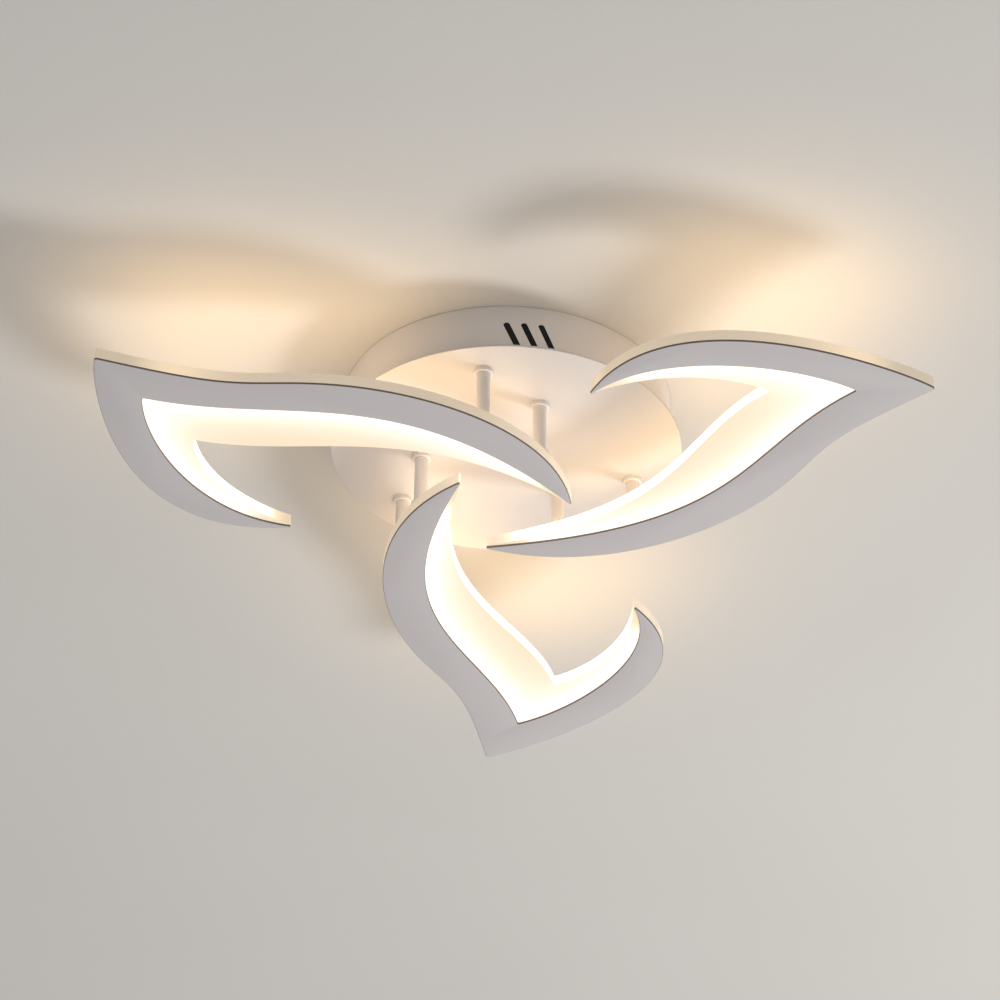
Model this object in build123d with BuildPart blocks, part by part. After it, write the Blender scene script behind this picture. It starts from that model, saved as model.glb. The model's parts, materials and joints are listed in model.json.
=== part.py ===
from build123d import *
import os
from math import cos, pi, radians, sin, sqrt, tan

# Flush mount ceiling light. Millimetres, +Z up. The origin is the centre of the canopy on the
# ceiling plane, and everything hangs below it. -Y is the side with the first group of vents.

# Overall sizes
drop = 82.5  # ceiling to the lower face of the petals
canopy_depth = 36.0  # ceiling to the lower face of the canopy disc
disc_diameter = 220.0
petal_length = 320.0  # inner tip to outer corner of one petal
petal_count = 3

# Canopy
disc_thickness = 1.2
disc_edge_radius = 0.5
disc_overhang = 6.8
drum_wall = 1.0
drum_flange_width = 8.0
ceiling_gap = 0.5
vent_groups = 2
vents_in_group = 3
vent_pitch = 10.8  # along the wall
vent_width = 4.2
vent_slant = 23.0  # degrees from upright
vent_top_depth = 12.2
vent_foot_gap = 0.8  # above the drum's flange

# Ceiling bracket and the screws that hold the canopy to it
bracket_width = 24.0
bracket_thickness = 2.0
bracket_bend_radius = 1.5
bracket_ear_depth = 24.0
bracket_drum_clearance = 1.2
slot_spacing = 80.0
slot_width = 5.5
slot_length = 22.0
cable_hole_diameter = 14.0
earth_hole_offset = 20.0
side_screw_depth = 17.0
side_screw_diameter = 4.0
side_screw_length = 10.0
thread_clearance = 0.05
screw_hole_clearance = 0.5
screw_head_diameter = 9.5
screw_head_height = 5.0
screw_head_chamfer = 0.6
screw_drive_width = 1.2
screw_drive_depth = 1.6
knurl_count = 24
knurl_depth = 0.35
screw_washer_diameter = 9.0
screw_washer_thickness = 0.8
seat_gap = 0.1

# Posts: a hollow threaded nipple in a plain tube, with a collar at each end of the tube
outer_post_share = 0.6968  # of the face plate's long inner edge, from the petal's corner
inner_post_share = 0.8563
outer_post_wall = 4.37  # of diffuser, between the strip's groove and the boss
inner_post_wall = 0.5
tube_diameter = 8.5
collar_diameter = 12.0
collar_height = 2.8
collar_edge_radius = 0.6
collar_clearance = 0.1
nipple_diameter = 6.0
nipple_clearance = 0.2
nipple_stand_out = 1.5
nipple_lift = 0.4  # above the cable's way out of the boss
disc_hole_clearance = 0.2
lock_washer_diameter = 11.0
lock_washer_thickness = 0.8
lock_washer_teeth = 12
lock_washer_notch = (2.4, 0.8)
nut_across_flats = 10.0
nut_height = 3.2

# Petals: a steel face plate under a milky diffuser, both with a long arm and a short arm
plate_thickness = 1.2
diffuser_thickness = 7.0
petal_corner_radius = 1.5
inner_corner_radius = 1.0
boss_diameter = 10.0
boss_clearance = 0.1
exit_side_room = 0.5  # beside the cable, in its way out of the boss
exit_top_room = 1.5

# Outlines of the first petal, as the corner, the control points of one curve, and the tip
growth_centre = (-5.85, -66.55)  # between the posts: a longer petal grows about it
long_outer = [(-263.5, -120.5), (-113.5, -87.5), (-215.0, -127.5), (1.5, -150.0), (39.1, -15.3)]
short_outer = [(-263.5, -120.5), (-265.5, -99.0), (-243.0, 67.5), (-130.5, 37.4)]
long_plate = [(-232.5, -85.0), (-143.0, -68.5), (-84.5, -130.5), (38.2, -14.8)]
short_plate = [(-232.5, -85.0), (-230.0, -41.5), (-191.5, 32.5), (-130.7, 36.4)]
long_diffuser = [(-198.0, -45.5), (-127.5, -34.0), (-70.5, -90.5), (37.6, -14.5)]
short_diffuser = [(-198.0, -45.5), (-198.0, -32.5), (-185.0, 14.5), (-130.8, 35.5)]

# Lights: one flexible strip on edge in a groove of each diffuser, its chips facing the open V
strip_distance = 6.0  # from the face plate's inner edge to the strip's lit face
strip_thickness = 0.3
strip_height = 5.0
strip_lift = 0.3  # above the face plate
strip_end_margin = 22.0  # from a petal tip to the strip's end
beside_points = 9  # through which a curve beside another is drawn
groove_front = 2.4  # room in front of the strip
groove_back = 0.2
groove_top_room = 0.5
chip_length = 3.5
chip_height = 2.8
chip_thickness = 0.8
chip_gap = 0.03
chip_pitch = 8.3
chip_margin = 6.0  # from either end of an arm's strip

# Driver, a closed plastic case on the canopy disc
driver_centre = (0.0, -21.0)
driver_length = 100.0
driver_width = 34.0
driver_height = 20.0
case_wall = 1.6
lid_lip = 2.0
lid_clearance = 0.15
foot_length = 8.0
foot_width = 10.0
foot_thickness = 2.2
board_thickness = 1.6
board_lift = 3.0
board_clearance = 0.6
board_post_size = 3.0
socket_pitch = 9.0
socket_size = (9.0, 7.0, 6.0)
socket_clearance = 0.15
plug_size = (8.0, 5.6, 4.6)
input_hole_pitch = 6.0
transformer_size = (22.0, 18.0, 10.5)
transformer_flange = 2.0
transformer_offset = 4.0
coil_diameter = 12.0
capacitor_diameter = 9.0
capacitor_height = 11.0
capacitor_edge_radius = 0.6
capacitor_offsets = [(-18.0, -7.0), (-18.0, 7.0), (26.0, 0.0)]
choke_diameter = 10.0
choke_height = 8.0
choke_flange = 2.0
choke_waist_depth = 1.2
choke_offset = -34.0

# Terminal block and earth point on the canopy disc
block_centre = (-6.0, 52.0)
block_length = 28.0
block_width = 18.0
block_height = 13.0
block_edge_radius = 1.0
block_foot_length = 8.0
block_foot_width = 9.0
block_foot_thickness = 3.0
pole_pitch = 9.0
sleeve_diameter = 5.0
sleeve_bore = 3.4
sleeve_length = 15.0
sleeve_drop = 1.0  # below the block's middle height
sleeve_clearance = 0.05
clamp_screw_diameter = 2.6
clamp_screw_spacing = 8.0
clamp_well_diameter = 3.6
clamp_drive_width = 0.6
clamp_drive_depth = 0.8
stud_diameter = 3.0
stud_height = 6.0
stud_nut_across_flats = 5.5
stud_nut_height = 2.4
earth_point = (16.0, 9.0)
earth_stud_diameter = 4.0
earth_nut_across_flats = 7.0
earth_nut_height = 3.2
ring_diameter = 8.0
ring_thickness = 0.8
ring_barrel_length = 6.0
ring_barrel_diameter = 3.0
ring_barrel_overlap = 0.5
bracket_screw_head_diameter = 8.0
bracket_screw_head_height = 2.4
bracket_screw_edge_radius = 0.8
bracket_screw_cross = (5.0, 1.0)
bracket_screw_cross_depth = 1.2

# Cables inside the canopy and posts
petal_cable_diameter = 1.6
cable_clearance = 0.9
lead_diameter = 2.2
cable_lift = 12.8  # above the canopy disc
plug_run = 11.0  # straight out of a plug
lead_insertion = 4.0  # into a terminal sleeve
bend_share = 0.45  # of the shorter run, taken by each bend

# Levels and radii that follow from the sizes above
disc_face = -canopy_depth
disc_top = disc_face + disc_thickness
plate_face = -drop
plate_top = plate_face + plate_thickness
diffuser_top = plate_top + diffuser_thickness
drum_radius = disc_diameter / 2 - disc_overhang
drum_inner = drum_radius - drum_wall
flange_top = disc_top + drum_wall
nut_seat = disc_top + lock_washer_thickness
boss_exit_width = petal_cable_diameter + 2 * exit_side_room
boss_exit_height = petal_cable_diameter + exit_top_room
nipple_bore = petal_cable_diameter + 2 * cable_clearance
nipple_top = nut_seat + nut_height + nipple_stand_out
nipple_foot = plate_top + boss_exit_height + nipple_lift
tube_bore = nipple_diameter + 2 * nipple_clearance
groove_depth = strip_lift + strip_height + groove_top_room
cable_level = disc_top + cable_lift
petal_turns = [360 / petal_count * number for number in range(petal_count)]

drawn_length = (Vector(*long_outer[0]) - Vector(*long_outer[-1])).length
petal_scale = petal_length / drawn_length


def outline(points):
    """One curve of the petal's outline, at the petal's real size."""
    centre = Vector(*growth_centre)
    return Bezier(*[centre + (Vector(*point) - centre) * petal_scale for point in points])


def beside_point(curve, side, distance, share):
    """A point at one distance from a curve: side is +1 on its left and -1 on its right."""
    along = curve % share
    return (curve @ share) + Vector(-along.Y, along.X) * side * distance


def beside(curve, side, distance, stop):
    """A curve at one distance from another."""
    shares = [stop * step / (beside_points - 1) for step in range(beside_points)]
    return Spline(*[beside_point(curve, side, distance, share) for share in shares])


def band(curve, side, near, far, stop):
    """The lines round a strip of ground between two distances from a curve."""
    inner = beside(curve, side, near, stop)
    outer = beside(curve, side, far, stop)
    Line(inner @ 0, outer @ 0)
    Line(inner @ 1, outer @ 1)


def corner_patch(near, far):
    """Corners of the ground between the bands of the long and the short arm."""
    corners = []
    for curve, side, stop in arm_edges:
        corners += [beside_point(curve, side, distance, 0) for distance in (near, far)]
    return [corners[0], corners[1], corners[3], corners[2]]


def turned(point, turn):
    """A point of the first petal, on the petal at this turn about the lamp's axis."""
    return Vector(*point).rotate(Axis.Z, turn)


def petal_plane(turn, level):
    """The drawing plane of one petal at a level."""
    return Plane.XY.offset(level).rotated((0, 0, turn))


def hexagon_radius(across_flats):
    """Corner radius of a hexagon."""
    return across_flats / sqrt(3)


def bend_radii(points, limits):
    """The largest bend at each inner point of a route, or its limit where one is given."""
    radii = []
    for index in range(1, len(points) - 1):
        before = points[index] - points[index - 1]
        after = points[index + 1] - points[index]
        turn = radians(before.get_angle(after))
        radius = bend_share * min(before.length, after.length) / tan(turn / 2)
        radii.append(min(radius, limits.get(index, radius)))
    return radii


def cable(name, points, diameter, limits):
    """A round cable along a route of straight runs joined by tangent bends."""
    route = [Vector(*point) for point in points]
    radii = bend_radii(route, limits)
    with BuildPart() as lead:
        with BuildLine():
            path = FilletPolyline(*route, radius=radii)
        with BuildSketch(Plane(origin=path @ 0, z_dir=path % 0)):
            Circle(diameter / 2)
        sweep()
    share = lead.part.volume / (pi * diameter**2 / 4 * path.length)
    print(name, "length", round(path.length, 1), "least bend", round(min(radii), 1))
    print(name, "volume over section times length", round(share, 4))
    return lead


def save(piece, name):
    """Labels a finished piece and writes it."""
    piece.part.label = name
    export_step(piece.part, f"parts/{name}.step")


os.makedirs("parts", exist_ok=True)

outer_long = outline(long_outer)
outer_short = outline(short_outer)
plate_long = outline(long_plate)
plate_short = outline(short_plate)
diffuser_long = outline(long_diffuser)
diffuser_short = outline(short_diffuser)

# The posts stand beside the long arm's strip, clear of its groove
groove_far = strip_distance + strip_thickness + groove_back
boss_setback = groove_far + boss_clearance + boss_diameter / 2
outer_post = beside_point(plate_long, -1, boss_setback + outer_post_wall, outer_post_share)
inner_post = beside_point(plate_long, -1, boss_setback + inner_post_wall, inner_post_share)
post_places = [outer_post, inner_post]
all_posts = [turned(place, turn) for turn in petal_turns for place in post_places]

# Canopy disc, flat, with a rounded lower edge and a hole for each post
with BuildPart() as canopy_disc:
    with BuildSketch(Plane.XY.offset(disc_face)):
        Circle(disc_diameter / 2)
        with Locations(*all_posts):
            Circle(nipple_diameter / 2 + disc_hole_clearance, mode=Mode.SUBTRACT)
    extrude(amount=disc_thickness)
    rims = canopy_disc.faces().sort_by(Axis.Z)[0].edges().sort_by(SortBy.LENGTH)
    fillet(rims[-1], radius=min(disc_edge_radius, disc_thickness / 2 - seat_gap))
save(canopy_disc, "canopy_disc")

# Canopy drum: a round wall on an inward flange, with slanting vents and two screw holes
vent_foot = flange_top + vent_foot_gap
vent_height = -vent_top_depth - vent_foot
vent_middle = vent_foot + vent_height / 2
vent_length = (vent_height - vent_width) / cos(radians(vent_slant)) + vent_width
with BuildPart() as canopy_drum:
    with BuildSketch(Plane.XY.offset(disc_top)):
        Circle(drum_radius)
        Circle(drum_inner - drum_flange_width, mode=Mode.SUBTRACT)
    extrude(amount=drum_wall)
    with BuildSketch(Plane.XY.offset(disc_top)):
        Circle(drum_radius)
        Circle(drum_inner, mode=Mode.SUBTRACT)
    extrude(amount=-disc_top - ceiling_gap)
    for group in range(vent_groups):
        for vent in range(vents_in_group):
            step = (vent - (vents_in_group - 1) / 2) * vent_pitch / drum_radius
            azimuth = radians(360 / vent_groups * group - 90) + step
            outward = Vector(cos(azimuth), sin(azimuth))
            around = Vector(-sin(azimuth), cos(azimuth))
            middle = Vector(0, 0, vent_middle) + outward * (drum_inner - drum_wall)
            with BuildSketch(Plane(origin=middle, x_dir=around, z_dir=outward)):
                SlotOverall(vent_length, vent_width, rotation=90 + vent_slant)
            extrude(amount=3 * drum_wall, mode=Mode.SUBTRACT)
    with BuildSketch(Plane.YZ.offset(-drum_radius - drum_wall)):
        with Locations((0, -side_screw_depth)):
            Circle(side_screw_diameter / 2 + screw_hole_clearance)
    extrude(amount=2 * (drum_radius + drum_wall), mode=Mode.SUBTRACT)
save(canopy_drum, "canopy_drum")

# Ceiling bracket: a strip with an ear bent down at each end
ear_face = sqrt(drum_inner**2 - (bracket_width / 2) ** 2) - bracket_drum_clearance
with BuildPart() as ceiling_bracket:
    with BuildSketch(Plane.XZ.offset(-bracket_width / 2)):
        with BuildLine():
            left_ear = [(-ear_face, -bracket_ear_depth), (-ear_face, 0)]
            right_ear = [(ear_face, 0), (ear_face, -bracket_ear_depth)]
            FilletPolyline(*left_ear, *right_ear, radius=bracket_bend_radius + bracket_thickness)
            offset(amount=bracket_thickness, side=Side.RIGHT)
        make_face()
    extrude(amount=bracket_width)
    with BuildSketch(Plane.XY.offset(-bracket_thickness)):
        Circle(cable_hole_diameter / 2)
        with Locations((-slot_spacing / 2, 0), (slot_spacing / 2, 0)):
            SlotOverall(slot_length, slot_width)
        with Locations((earth_hole_offset, 0)):
            Circle(earth_stud_diameter / 2 + thread_clearance)
    extrude(amount=bracket_thickness, mode=Mode.SUBTRACT)
    with BuildSketch(Plane.YZ.offset(-ear_face)):
        with Locations((0, -side_screw_depth)):
            Circle(side_screw_diameter / 2 + thread_clearance)
    extrude(amount=2 * ear_face, mode=Mode.SUBTRACT)
save(ceiling_bracket, "ceiling_bracket")

# Side screws, turned by hand, and the washer under each head
washer_face = drum_radius + seat_gap
head_face = washer_face + screw_washer_thickness
for side, label in ((1, "right"), (-1, "left")):
    outward = Vector(side, 0, 0)
    height = Vector(0, 0, -side_screw_depth)
    with BuildPart() as side_screw:
        with BuildSketch(Plane(origin=height + outward * head_face, z_dir=outward)):
            Circle(screw_head_diameter / 2)
            with PolarLocations(screw_head_diameter / 2, knurl_count):
                Rectangle(2 * knurl_depth, 2 * knurl_depth, rotation=45, mode=Mode.SUBTRACT)
        extrude(amount=screw_head_height)
        crown = Plane(origin=height + outward * (head_face + screw_head_height), z_dir=outward)
        with BuildSketch(crown):
            Rectangle(2 * screw_head_diameter, screw_drive_width)
        extrude(amount=-screw_drive_depth, mode=Mode.SUBTRACT)
        with BuildSketch(Plane(origin=height + outward * head_face, z_dir=-outward)):
            Circle(side_screw_diameter / 2)
        extrude(amount=side_screw_length)
        tip = side_screw.faces().sort_by(Axis.X)[0 if side > 0 else -1]
        chamfer(tip.edges(), length=screw_head_chamfer)
    save(side_screw, f"side_screw_{label}")
    with BuildPart() as screw_washer:
        with BuildSketch(Plane(origin=height + outward * washer_face, z_dir=outward)):
            Circle(screw_washer_diameter / 2)
            Circle(side_screw_diameter / 2 + 2 * thread_clearance, mode=Mode.SUBTRACT)
        extrude(amount=screw_washer_thickness)
    save(screw_washer, f"screw_washer_{label}")

# Post tubes, each its own piece, from a petal's boss to the canopy disc
for number, turn in enumerate(petal_turns, 1):
    for place, label in ((outer_post, "outer"), (inner_post, "inner")):
        with BuildPart() as post_tube:
            with BuildSketch(Plane.XY.offset(diffuser_top)):
                with Locations(turned(place, turn)):
                    Circle(tube_diameter / 2)
                    Circle(tube_bore / 2, mode=Mode.SUBTRACT)
            extrude(amount=disc_face - diffuser_top)
        save(post_tube, f"post_tube_{label}_{number}")

# Collars round both ends of every tube
with BuildPart() as post_collars:
    for level, rise in ((diffuser_top, collar_height), (disc_face, -collar_height)):
        with BuildSketch(Plane.XY.offset(level)):
            with Locations(*all_posts):
                Circle(collar_diameter / 2)
                Circle(tube_diameter / 2 + collar_clearance, mode=Mode.SUBTRACT)
        extrude(amount=rise)
    free_rims = post_collars.edges().filter_by(GeomType.CIRCLE)
    lowest_rim = diffuser_top + collar_height / 2
    highest_rim = disc_face - collar_height / 2
    free_rims = free_rims.filter_by_position(Axis.Z, lowest_rim, highest_rim)
    free_rims = free_rims.filter_by(lambda rim: rim.radius > (collar_diameter + tube_diameter) / 4)
    fillet(free_rims, radius=collar_edge_radius)
save(post_collars, "post_collars")

# Hollow threaded nipples through the tubes
with BuildPart() as post_nipples:
    with BuildSketch(Plane.XY.offset(nipple_foot)):
        with Locations(*all_posts):
            Circle(nipple_diameter / 2)
            Circle(nipple_bore / 2, mode=Mode.SUBTRACT)
    extrude(amount=nipple_top - nipple_foot)
save(post_nipples, "post_nipples")

# Toothed lock washers and nuts on the canopy disc
with BuildPart() as post_lock_washers:
    with BuildSketch(Plane.XY.offset(disc_top)):
        with Locations(*all_posts):
            Circle(lock_washer_diameter / 2)
            Circle(nipple_diameter / 2 + disc_hole_clearance, mode=Mode.SUBTRACT)
            with PolarLocations(lock_washer_diameter / 2, lock_washer_teeth):
                Rectangle(*lock_washer_notch, mode=Mode.SUBTRACT)
    extrude(amount=lock_washer_thickness)
save(post_lock_washers, "post_lock_washers")

with BuildPart() as post_nuts:
    with BuildSketch(Plane.XY.offset(nut_seat)):
        with Locations(*all_posts):
            RegularPolygon(hexagon_radius(nut_across_flats), 6)
            Circle(nipple_diameter / 2 + thread_clearance, mode=Mode.SUBTRACT)
    extrude(amount=nut_height)
save(post_nuts, "post_nuts")

# Where the cable of a petal meets its light strip: straight across from the outer post
edge_points = [plate_long @ (step / 200) for step in range(201)]
strip_foot = min(edge_points, key=lambda point: (point - outer_post).length)
toward_post = (outer_post - strip_foot).normalized()
strip_back = strip_distance + strip_thickness
cable_end = strip_foot + toward_post * (strip_back + seat_gap)
exit_angle = Vector(1, 0, 0).get_signed_angle(-toward_post, Vector(0, 0, 1))
long_stop = 1 - strip_end_margin / plate_long.length
short_stop = 1 - strip_end_margin / plate_short.length
arm_edges = [(plate_long, -1, long_stop), (plate_short, 1, short_stop)]
groove_near = strip_distance - groove_front

# Petals
for number, turn in enumerate(petal_turns, 1):
    # Face plate: flat steel, the petal's whole outer band
    with BuildPart() as face_plate:
        with BuildSketch(petal_plane(turn, plate_face)):
            with BuildLine():
                add(outer_long)
                add(plate_long)
                add(plate_short)
                add(outer_short)
                Line(outer_long @ 1, plate_long @ 1)
                Line(plate_short @ 1, outer_short @ 1)
            make_face()
        extrude(amount=plate_thickness)
        upright = face_plate.edges().filter_by(Axis.Z)
        fillet(upright.sort_by_distance(turned(outer_long @ 0, turn))[0], radius=petal_corner_radius)
        upright = face_plate.edges().filter_by(Axis.Z)
        fillet(upright.sort_by_distance(turned(plate_long @ 0, turn))[0], radius=inner_corner_radius)
    save(face_plate, f"face_plate_{number}")

    # Diffuser: the same outer edge, a wider band, a groove for the strip and holes for the bosses
    with BuildPart() as diffuser:
        with BuildSketch(petal_plane(turn, plate_top)):
            with BuildLine():
                add(outer_long)
                add(diffuser_long)
                add(diffuser_short)
                add(outer_short)
                Line(outer_long @ 1, diffuser_long @ 1)
                Line(diffuser_short @ 1, outer_short @ 1)
            make_face()
            with Locations(*post_places):
                Circle(boss_diameter / 2 + boss_clearance, mode=Mode.SUBTRACT)
        extrude(amount=diffuser_thickness)
        upright = diffuser.edges().filter_by(Axis.Z)
        fillet(upright.sort_by_distance(turned(outer_long @ 0, turn))[0], radius=petal_corner_radius)
        upright = diffuser.edges().filter_by(Axis.Z)
        fillet(upright.sort_by_distance(turned(diffuser_long @ 0, turn))[0], radius=inner_corner_radius)
        with BuildSketch(petal_plane(turn, plate_top)):
            for curve, side, stop in arm_edges:
                with BuildLine():
                    band(curve, side, groove_near, groove_far, stop)
                make_face()
            Polygon(*corner_patch(groove_near, groove_far), align=None)
        extrude(amount=groove_depth, mode=Mode.SUBTRACT)
        with BuildSketch(petal_plane(turn, plate_top)):
            middle = (outer_post + cable_end) * 0.5
            with Locations(middle):
                Rectangle((outer_post - cable_end).length, boss_exit_width, rotation=exit_angle)
        extrude(amount=boss_exit_height, mode=Mode.SUBTRACT)
    save(diffuser, f"diffuser_{number}")

    # Bosses welded to the face plate, threaded for the nipples, open at the side for the cable
    with BuildPart() as plate_bosses:
        with BuildSketch(petal_plane(turn, plate_top)):
            with Locations(*post_places):
                Circle(boss_diameter / 2)
                Circle(nipple_diameter / 2 + thread_clearance, mode=Mode.SUBTRACT)
        extrude(amount=diffuser_thickness)
        with BuildSketch(petal_plane(turn, plate_top)):
            with Locations(outer_post - toward_post * boss_diameter / 2):
                Rectangle(boss_diameter, boss_exit_width, rotation=exit_angle)
        extrude(amount=boss_exit_height, mode=Mode.SUBTRACT)
    save(plate_bosses, f"plate_bosses_{number}")

    # Light strip: one ribbon on edge, along both arms and round the corner between them
    with BuildPart() as led_strip:
        with BuildSketch(petal_plane(turn, plate_top + strip_lift)):
            for curve, side, stop in arm_edges:
                with BuildLine():
                    band(curve, side, strip_distance, strip_back, stop)
                make_face()
            Polygon(*corner_patch(strip_distance, strip_back), align=None)
        extrude(amount=strip_height)
    save(led_strip, f"led_strip_{number}")

    # Chips on the strip's lit face
    chip_level = plate_top + strip_lift + strip_height / 2
    chip_planes = []
    for curve, side, stop in arm_edges:
        lit_face = beside(curve, side, strip_distance, stop)
        chip_count = int((lit_face.length - 2 * chip_margin) / chip_pitch) + 1
        for chip in range(chip_count):
            reach = chip_margin + chip * chip_pitch
            place = lit_face.position_at(reach, position_mode=PositionMode.LENGTH)
            along = lit_face.tangent_at(reach, position_mode=PositionMode.LENGTH)
            across = Vector(-along.Y, along.X) * side
            centre = place - across * (chip_gap + chip_thickness / 2) + Vector(0, 0, chip_level)
            chip_planes.append(Plane(origin=turned(centre, turn), x_dir=turned(along, turn)))
    with BuildPart() as led_chips:
        with Locations(*chip_planes):
            Box(chip_length, chip_thickness, chip_height)
    save(led_chips, f"led_chips_{number}")

# Driver case: an open box with feet, windows for the sockets and holes for the supply leads
driver_x, driver_y = driver_centre
case_top = disc_top + driver_height - case_wall
board_level = disc_top + case_wall + board_lift
driver_right = driver_x + driver_length / 2
driver_left = driver_x - driver_length / 2
socket_rows = [driver_y + socket_pitch * row for row in (-1, 0, 1)]
socket_middle = board_level + board_thickness + socket_size[2] / 2
inner_length = driver_length - 2 * case_wall
inner_width = driver_width - 2 * case_wall
foot_places = [(driver_left - foot_length / 2, driver_y), (driver_right + foot_length / 2, driver_y)]
with BuildPart() as driver_case:
    with BuildSketch(Plane.XY.offset(disc_top)):
        with Locations(driver_centre):
            Rectangle(driver_length, driver_width)
    extrude(amount=driver_height - case_wall)
    fillet(driver_case.edges().filter_by(Axis.Z), radius=case_wall)
    with BuildSketch(Plane.XY.offset(disc_top + case_wall)):
        with Locations(driver_centre):
            Rectangle(inner_length, inner_width)
    extrude(amount=driver_height, mode=Mode.SUBTRACT)
    with BuildSketch(Plane.XY.offset(disc_top + case_wall)):
        with Locations(driver_centre):
            with GridLocations(inner_length - board_post_size, inner_width - board_post_size, 2, 2):
                Rectangle(board_post_size, board_post_size)
    extrude(amount=board_lift)
    with BuildSketch(Plane.XY.offset(disc_top)):
        with Locations(*foot_places):
            Rectangle(foot_length + case_wall, foot_width)
            Circle(stud_diameter / 2 + screw_hole_clearance / 2, mode=Mode.SUBTRACT)
    extrude(amount=foot_thickness)
    with BuildSketch(Plane.YZ.offset(driver_right - 1.5 * case_wall)):
        with Locations(*[(row, socket_middle) for row in socket_rows]):
            Rectangle(socket_size[1] + 2 * socket_clearance, socket_size[2] + 2 * socket_clearance)
    extrude(amount=2 * case_wall, mode=Mode.SUBTRACT)
    with BuildSketch(Plane.YZ.offset(driver_left - case_wall / 2)):
        with Locations(*[(driver_y + input_hole_pitch * row, socket_middle) for row in (-0.5, 0.5)]):
            Circle(lead_diameter / 2 + seat_gap)
    extrude(amount=2 * case_wall, mode=Mode.SUBTRACT)
save(driver_case, "driver_case")

# Driver lid with a lip that drops inside the case
with BuildPart() as driver_lid:
    with BuildSketch(Plane.XY.offset(case_top)):
        with Locations(driver_centre):
            RectangleRounded(driver_length, driver_width, case_wall)
    extrude(amount=case_wall)
    with BuildSketch(Plane.XY.offset(case_top)):
        with Locations(driver_centre):
            Rectangle(inner_length - 2 * lid_clearance, inner_width - 2 * lid_clearance)
            Rectangle(inner_length - 2 * case_wall, inner_width - 2 * case_wall, mode=Mode.SUBTRACT)
    extrude(amount=-lid_lip)
save(driver_lid, "driver_lid")

# Driver circuit board and what stands on it
part_floor = board_level + board_thickness
with BuildPart() as driver_board:
    with BuildSketch(Plane.XY.offset(board_level)):
        with Locations(driver_centre):
            Rectangle(inner_length - 2 * board_clearance, inner_width - 2 * board_clearance)
    extrude(amount=board_thickness)
save(driver_board, "driver_board")

with BuildPart() as driver_sockets:
    with BuildSketch(Plane.XY.offset(part_floor)):
        with Locations(*[(driver_right - socket_size[0] / 2, row) for row in socket_rows]):
            Rectangle(socket_size[0], socket_size[1])
    extrude(amount=socket_size[2])
save(driver_sockets, "driver_sockets")

transformer_place = (driver_x + transformer_offset, driver_y)
with BuildPart() as driver_transformer:
    with BuildSketch(Plane.XY.offset(part_floor)):
        with Locations(transformer_place):
            Rectangle(transformer_size[0], transformer_size[1])
    extrude(amount=transformer_size[2])
    with BuildSketch(Plane.XY.offset(part_floor + transformer_flange)):
        with Locations(transformer_place):
            Rectangle(transformer_size[0] / 2, 2 * transformer_size[1])
    extrude(amount=transformer_size[2] - 2 * transformer_flange, mode=Mode.SUBTRACT)
    with BuildSketch(Plane.XY.offset(part_floor + transformer_flange)):
        with Locations(transformer_place):
            Circle(coil_diameter / 2)
    extrude(amount=transformer_size[2] - 2 * transformer_flange)
save(driver_transformer, "driver_transformer")

with BuildPart() as driver_capacitors:
    with BuildSketch(Plane.XY.offset(part_floor)):
        with Locations(*[(driver_x + x, driver_y + y) for x, y in capacitor_offsets]):
            Circle(capacitor_diameter / 2)
    extrude(amount=capacitor_height)
    fillet(driver_capacitors.faces().group_by(Axis.Z)[-1].edges(), radius=capacitor_edge_radius)
save(driver_capacitors, "driver_capacitors")

choke_place = (driver_x + choke_offset, driver_y)
with BuildPart() as driver_choke:
    with BuildSketch(Plane.XY.offset(part_floor)):
        with Locations(choke_place):
            Circle(choke_diameter / 2)
    extrude(amount=choke_height)
    with BuildSketch(Plane.XY.offset(part_floor + choke_flange)):
        with Locations(choke_place):
            Circle(choke_diameter / 2)
            Circle(choke_diameter / 2 - choke_waist_depth, mode=Mode.SUBTRACT)
    extrude(amount=choke_height - 2 * choke_flange, mode=Mode.SUBTRACT)
save(driver_choke, "driver_choke")

# Terminal block with a foot, three brass sleeves and their clamping screws
block_x, block_y = block_centre
pole_places = [block_x + pole_pitch * pole for pole in (-1, 0, 1)]
sleeve_level = disc_top + block_height / 2 - sleeve_drop
block_top = disc_top + block_height
block_stud = (block_x + block_length / 2 + block_foot_length / 2, block_y)
clamp_places = [(x, block_y + side * clamp_screw_spacing / 2) for x in pole_places for side in (-1, 1)]
with BuildPart() as terminal_block:
    with BuildSketch(Plane.XY.offset(disc_top)):
        with Locations(block_centre):
            Rectangle(block_length, block_width)
    extrude(amount=block_height)
    fillet(terminal_block.edges().filter_by(Axis.Z), radius=block_edge_radius)
    with BuildSketch(Plane.XY.offset(disc_top)):
        with Locations(block_stud):
            Rectangle(block_foot_length + 2 * block_edge_radius, block_foot_width)
            Circle(stud_diameter / 2 + screw_hole_clearance / 2, mode=Mode.SUBTRACT)
    extrude(amount=block_foot_thickness)
    with BuildSketch(Plane.XZ.offset(-block_y - block_width)):
        with Locations(*[(x, sleeve_level) for x in pole_places]):
            Circle(sleeve_diameter / 2 + sleeve_clearance)
    extrude(amount=2 * block_width, mode=Mode.SUBTRACT)
    with BuildSketch(Plane.XY.offset(sleeve_level)):
        with Locations(*clamp_places):
            Circle(clamp_well_diameter / 2)
    extrude(amount=block_height, mode=Mode.SUBTRACT)
save(terminal_block, "terminal_block")

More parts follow.
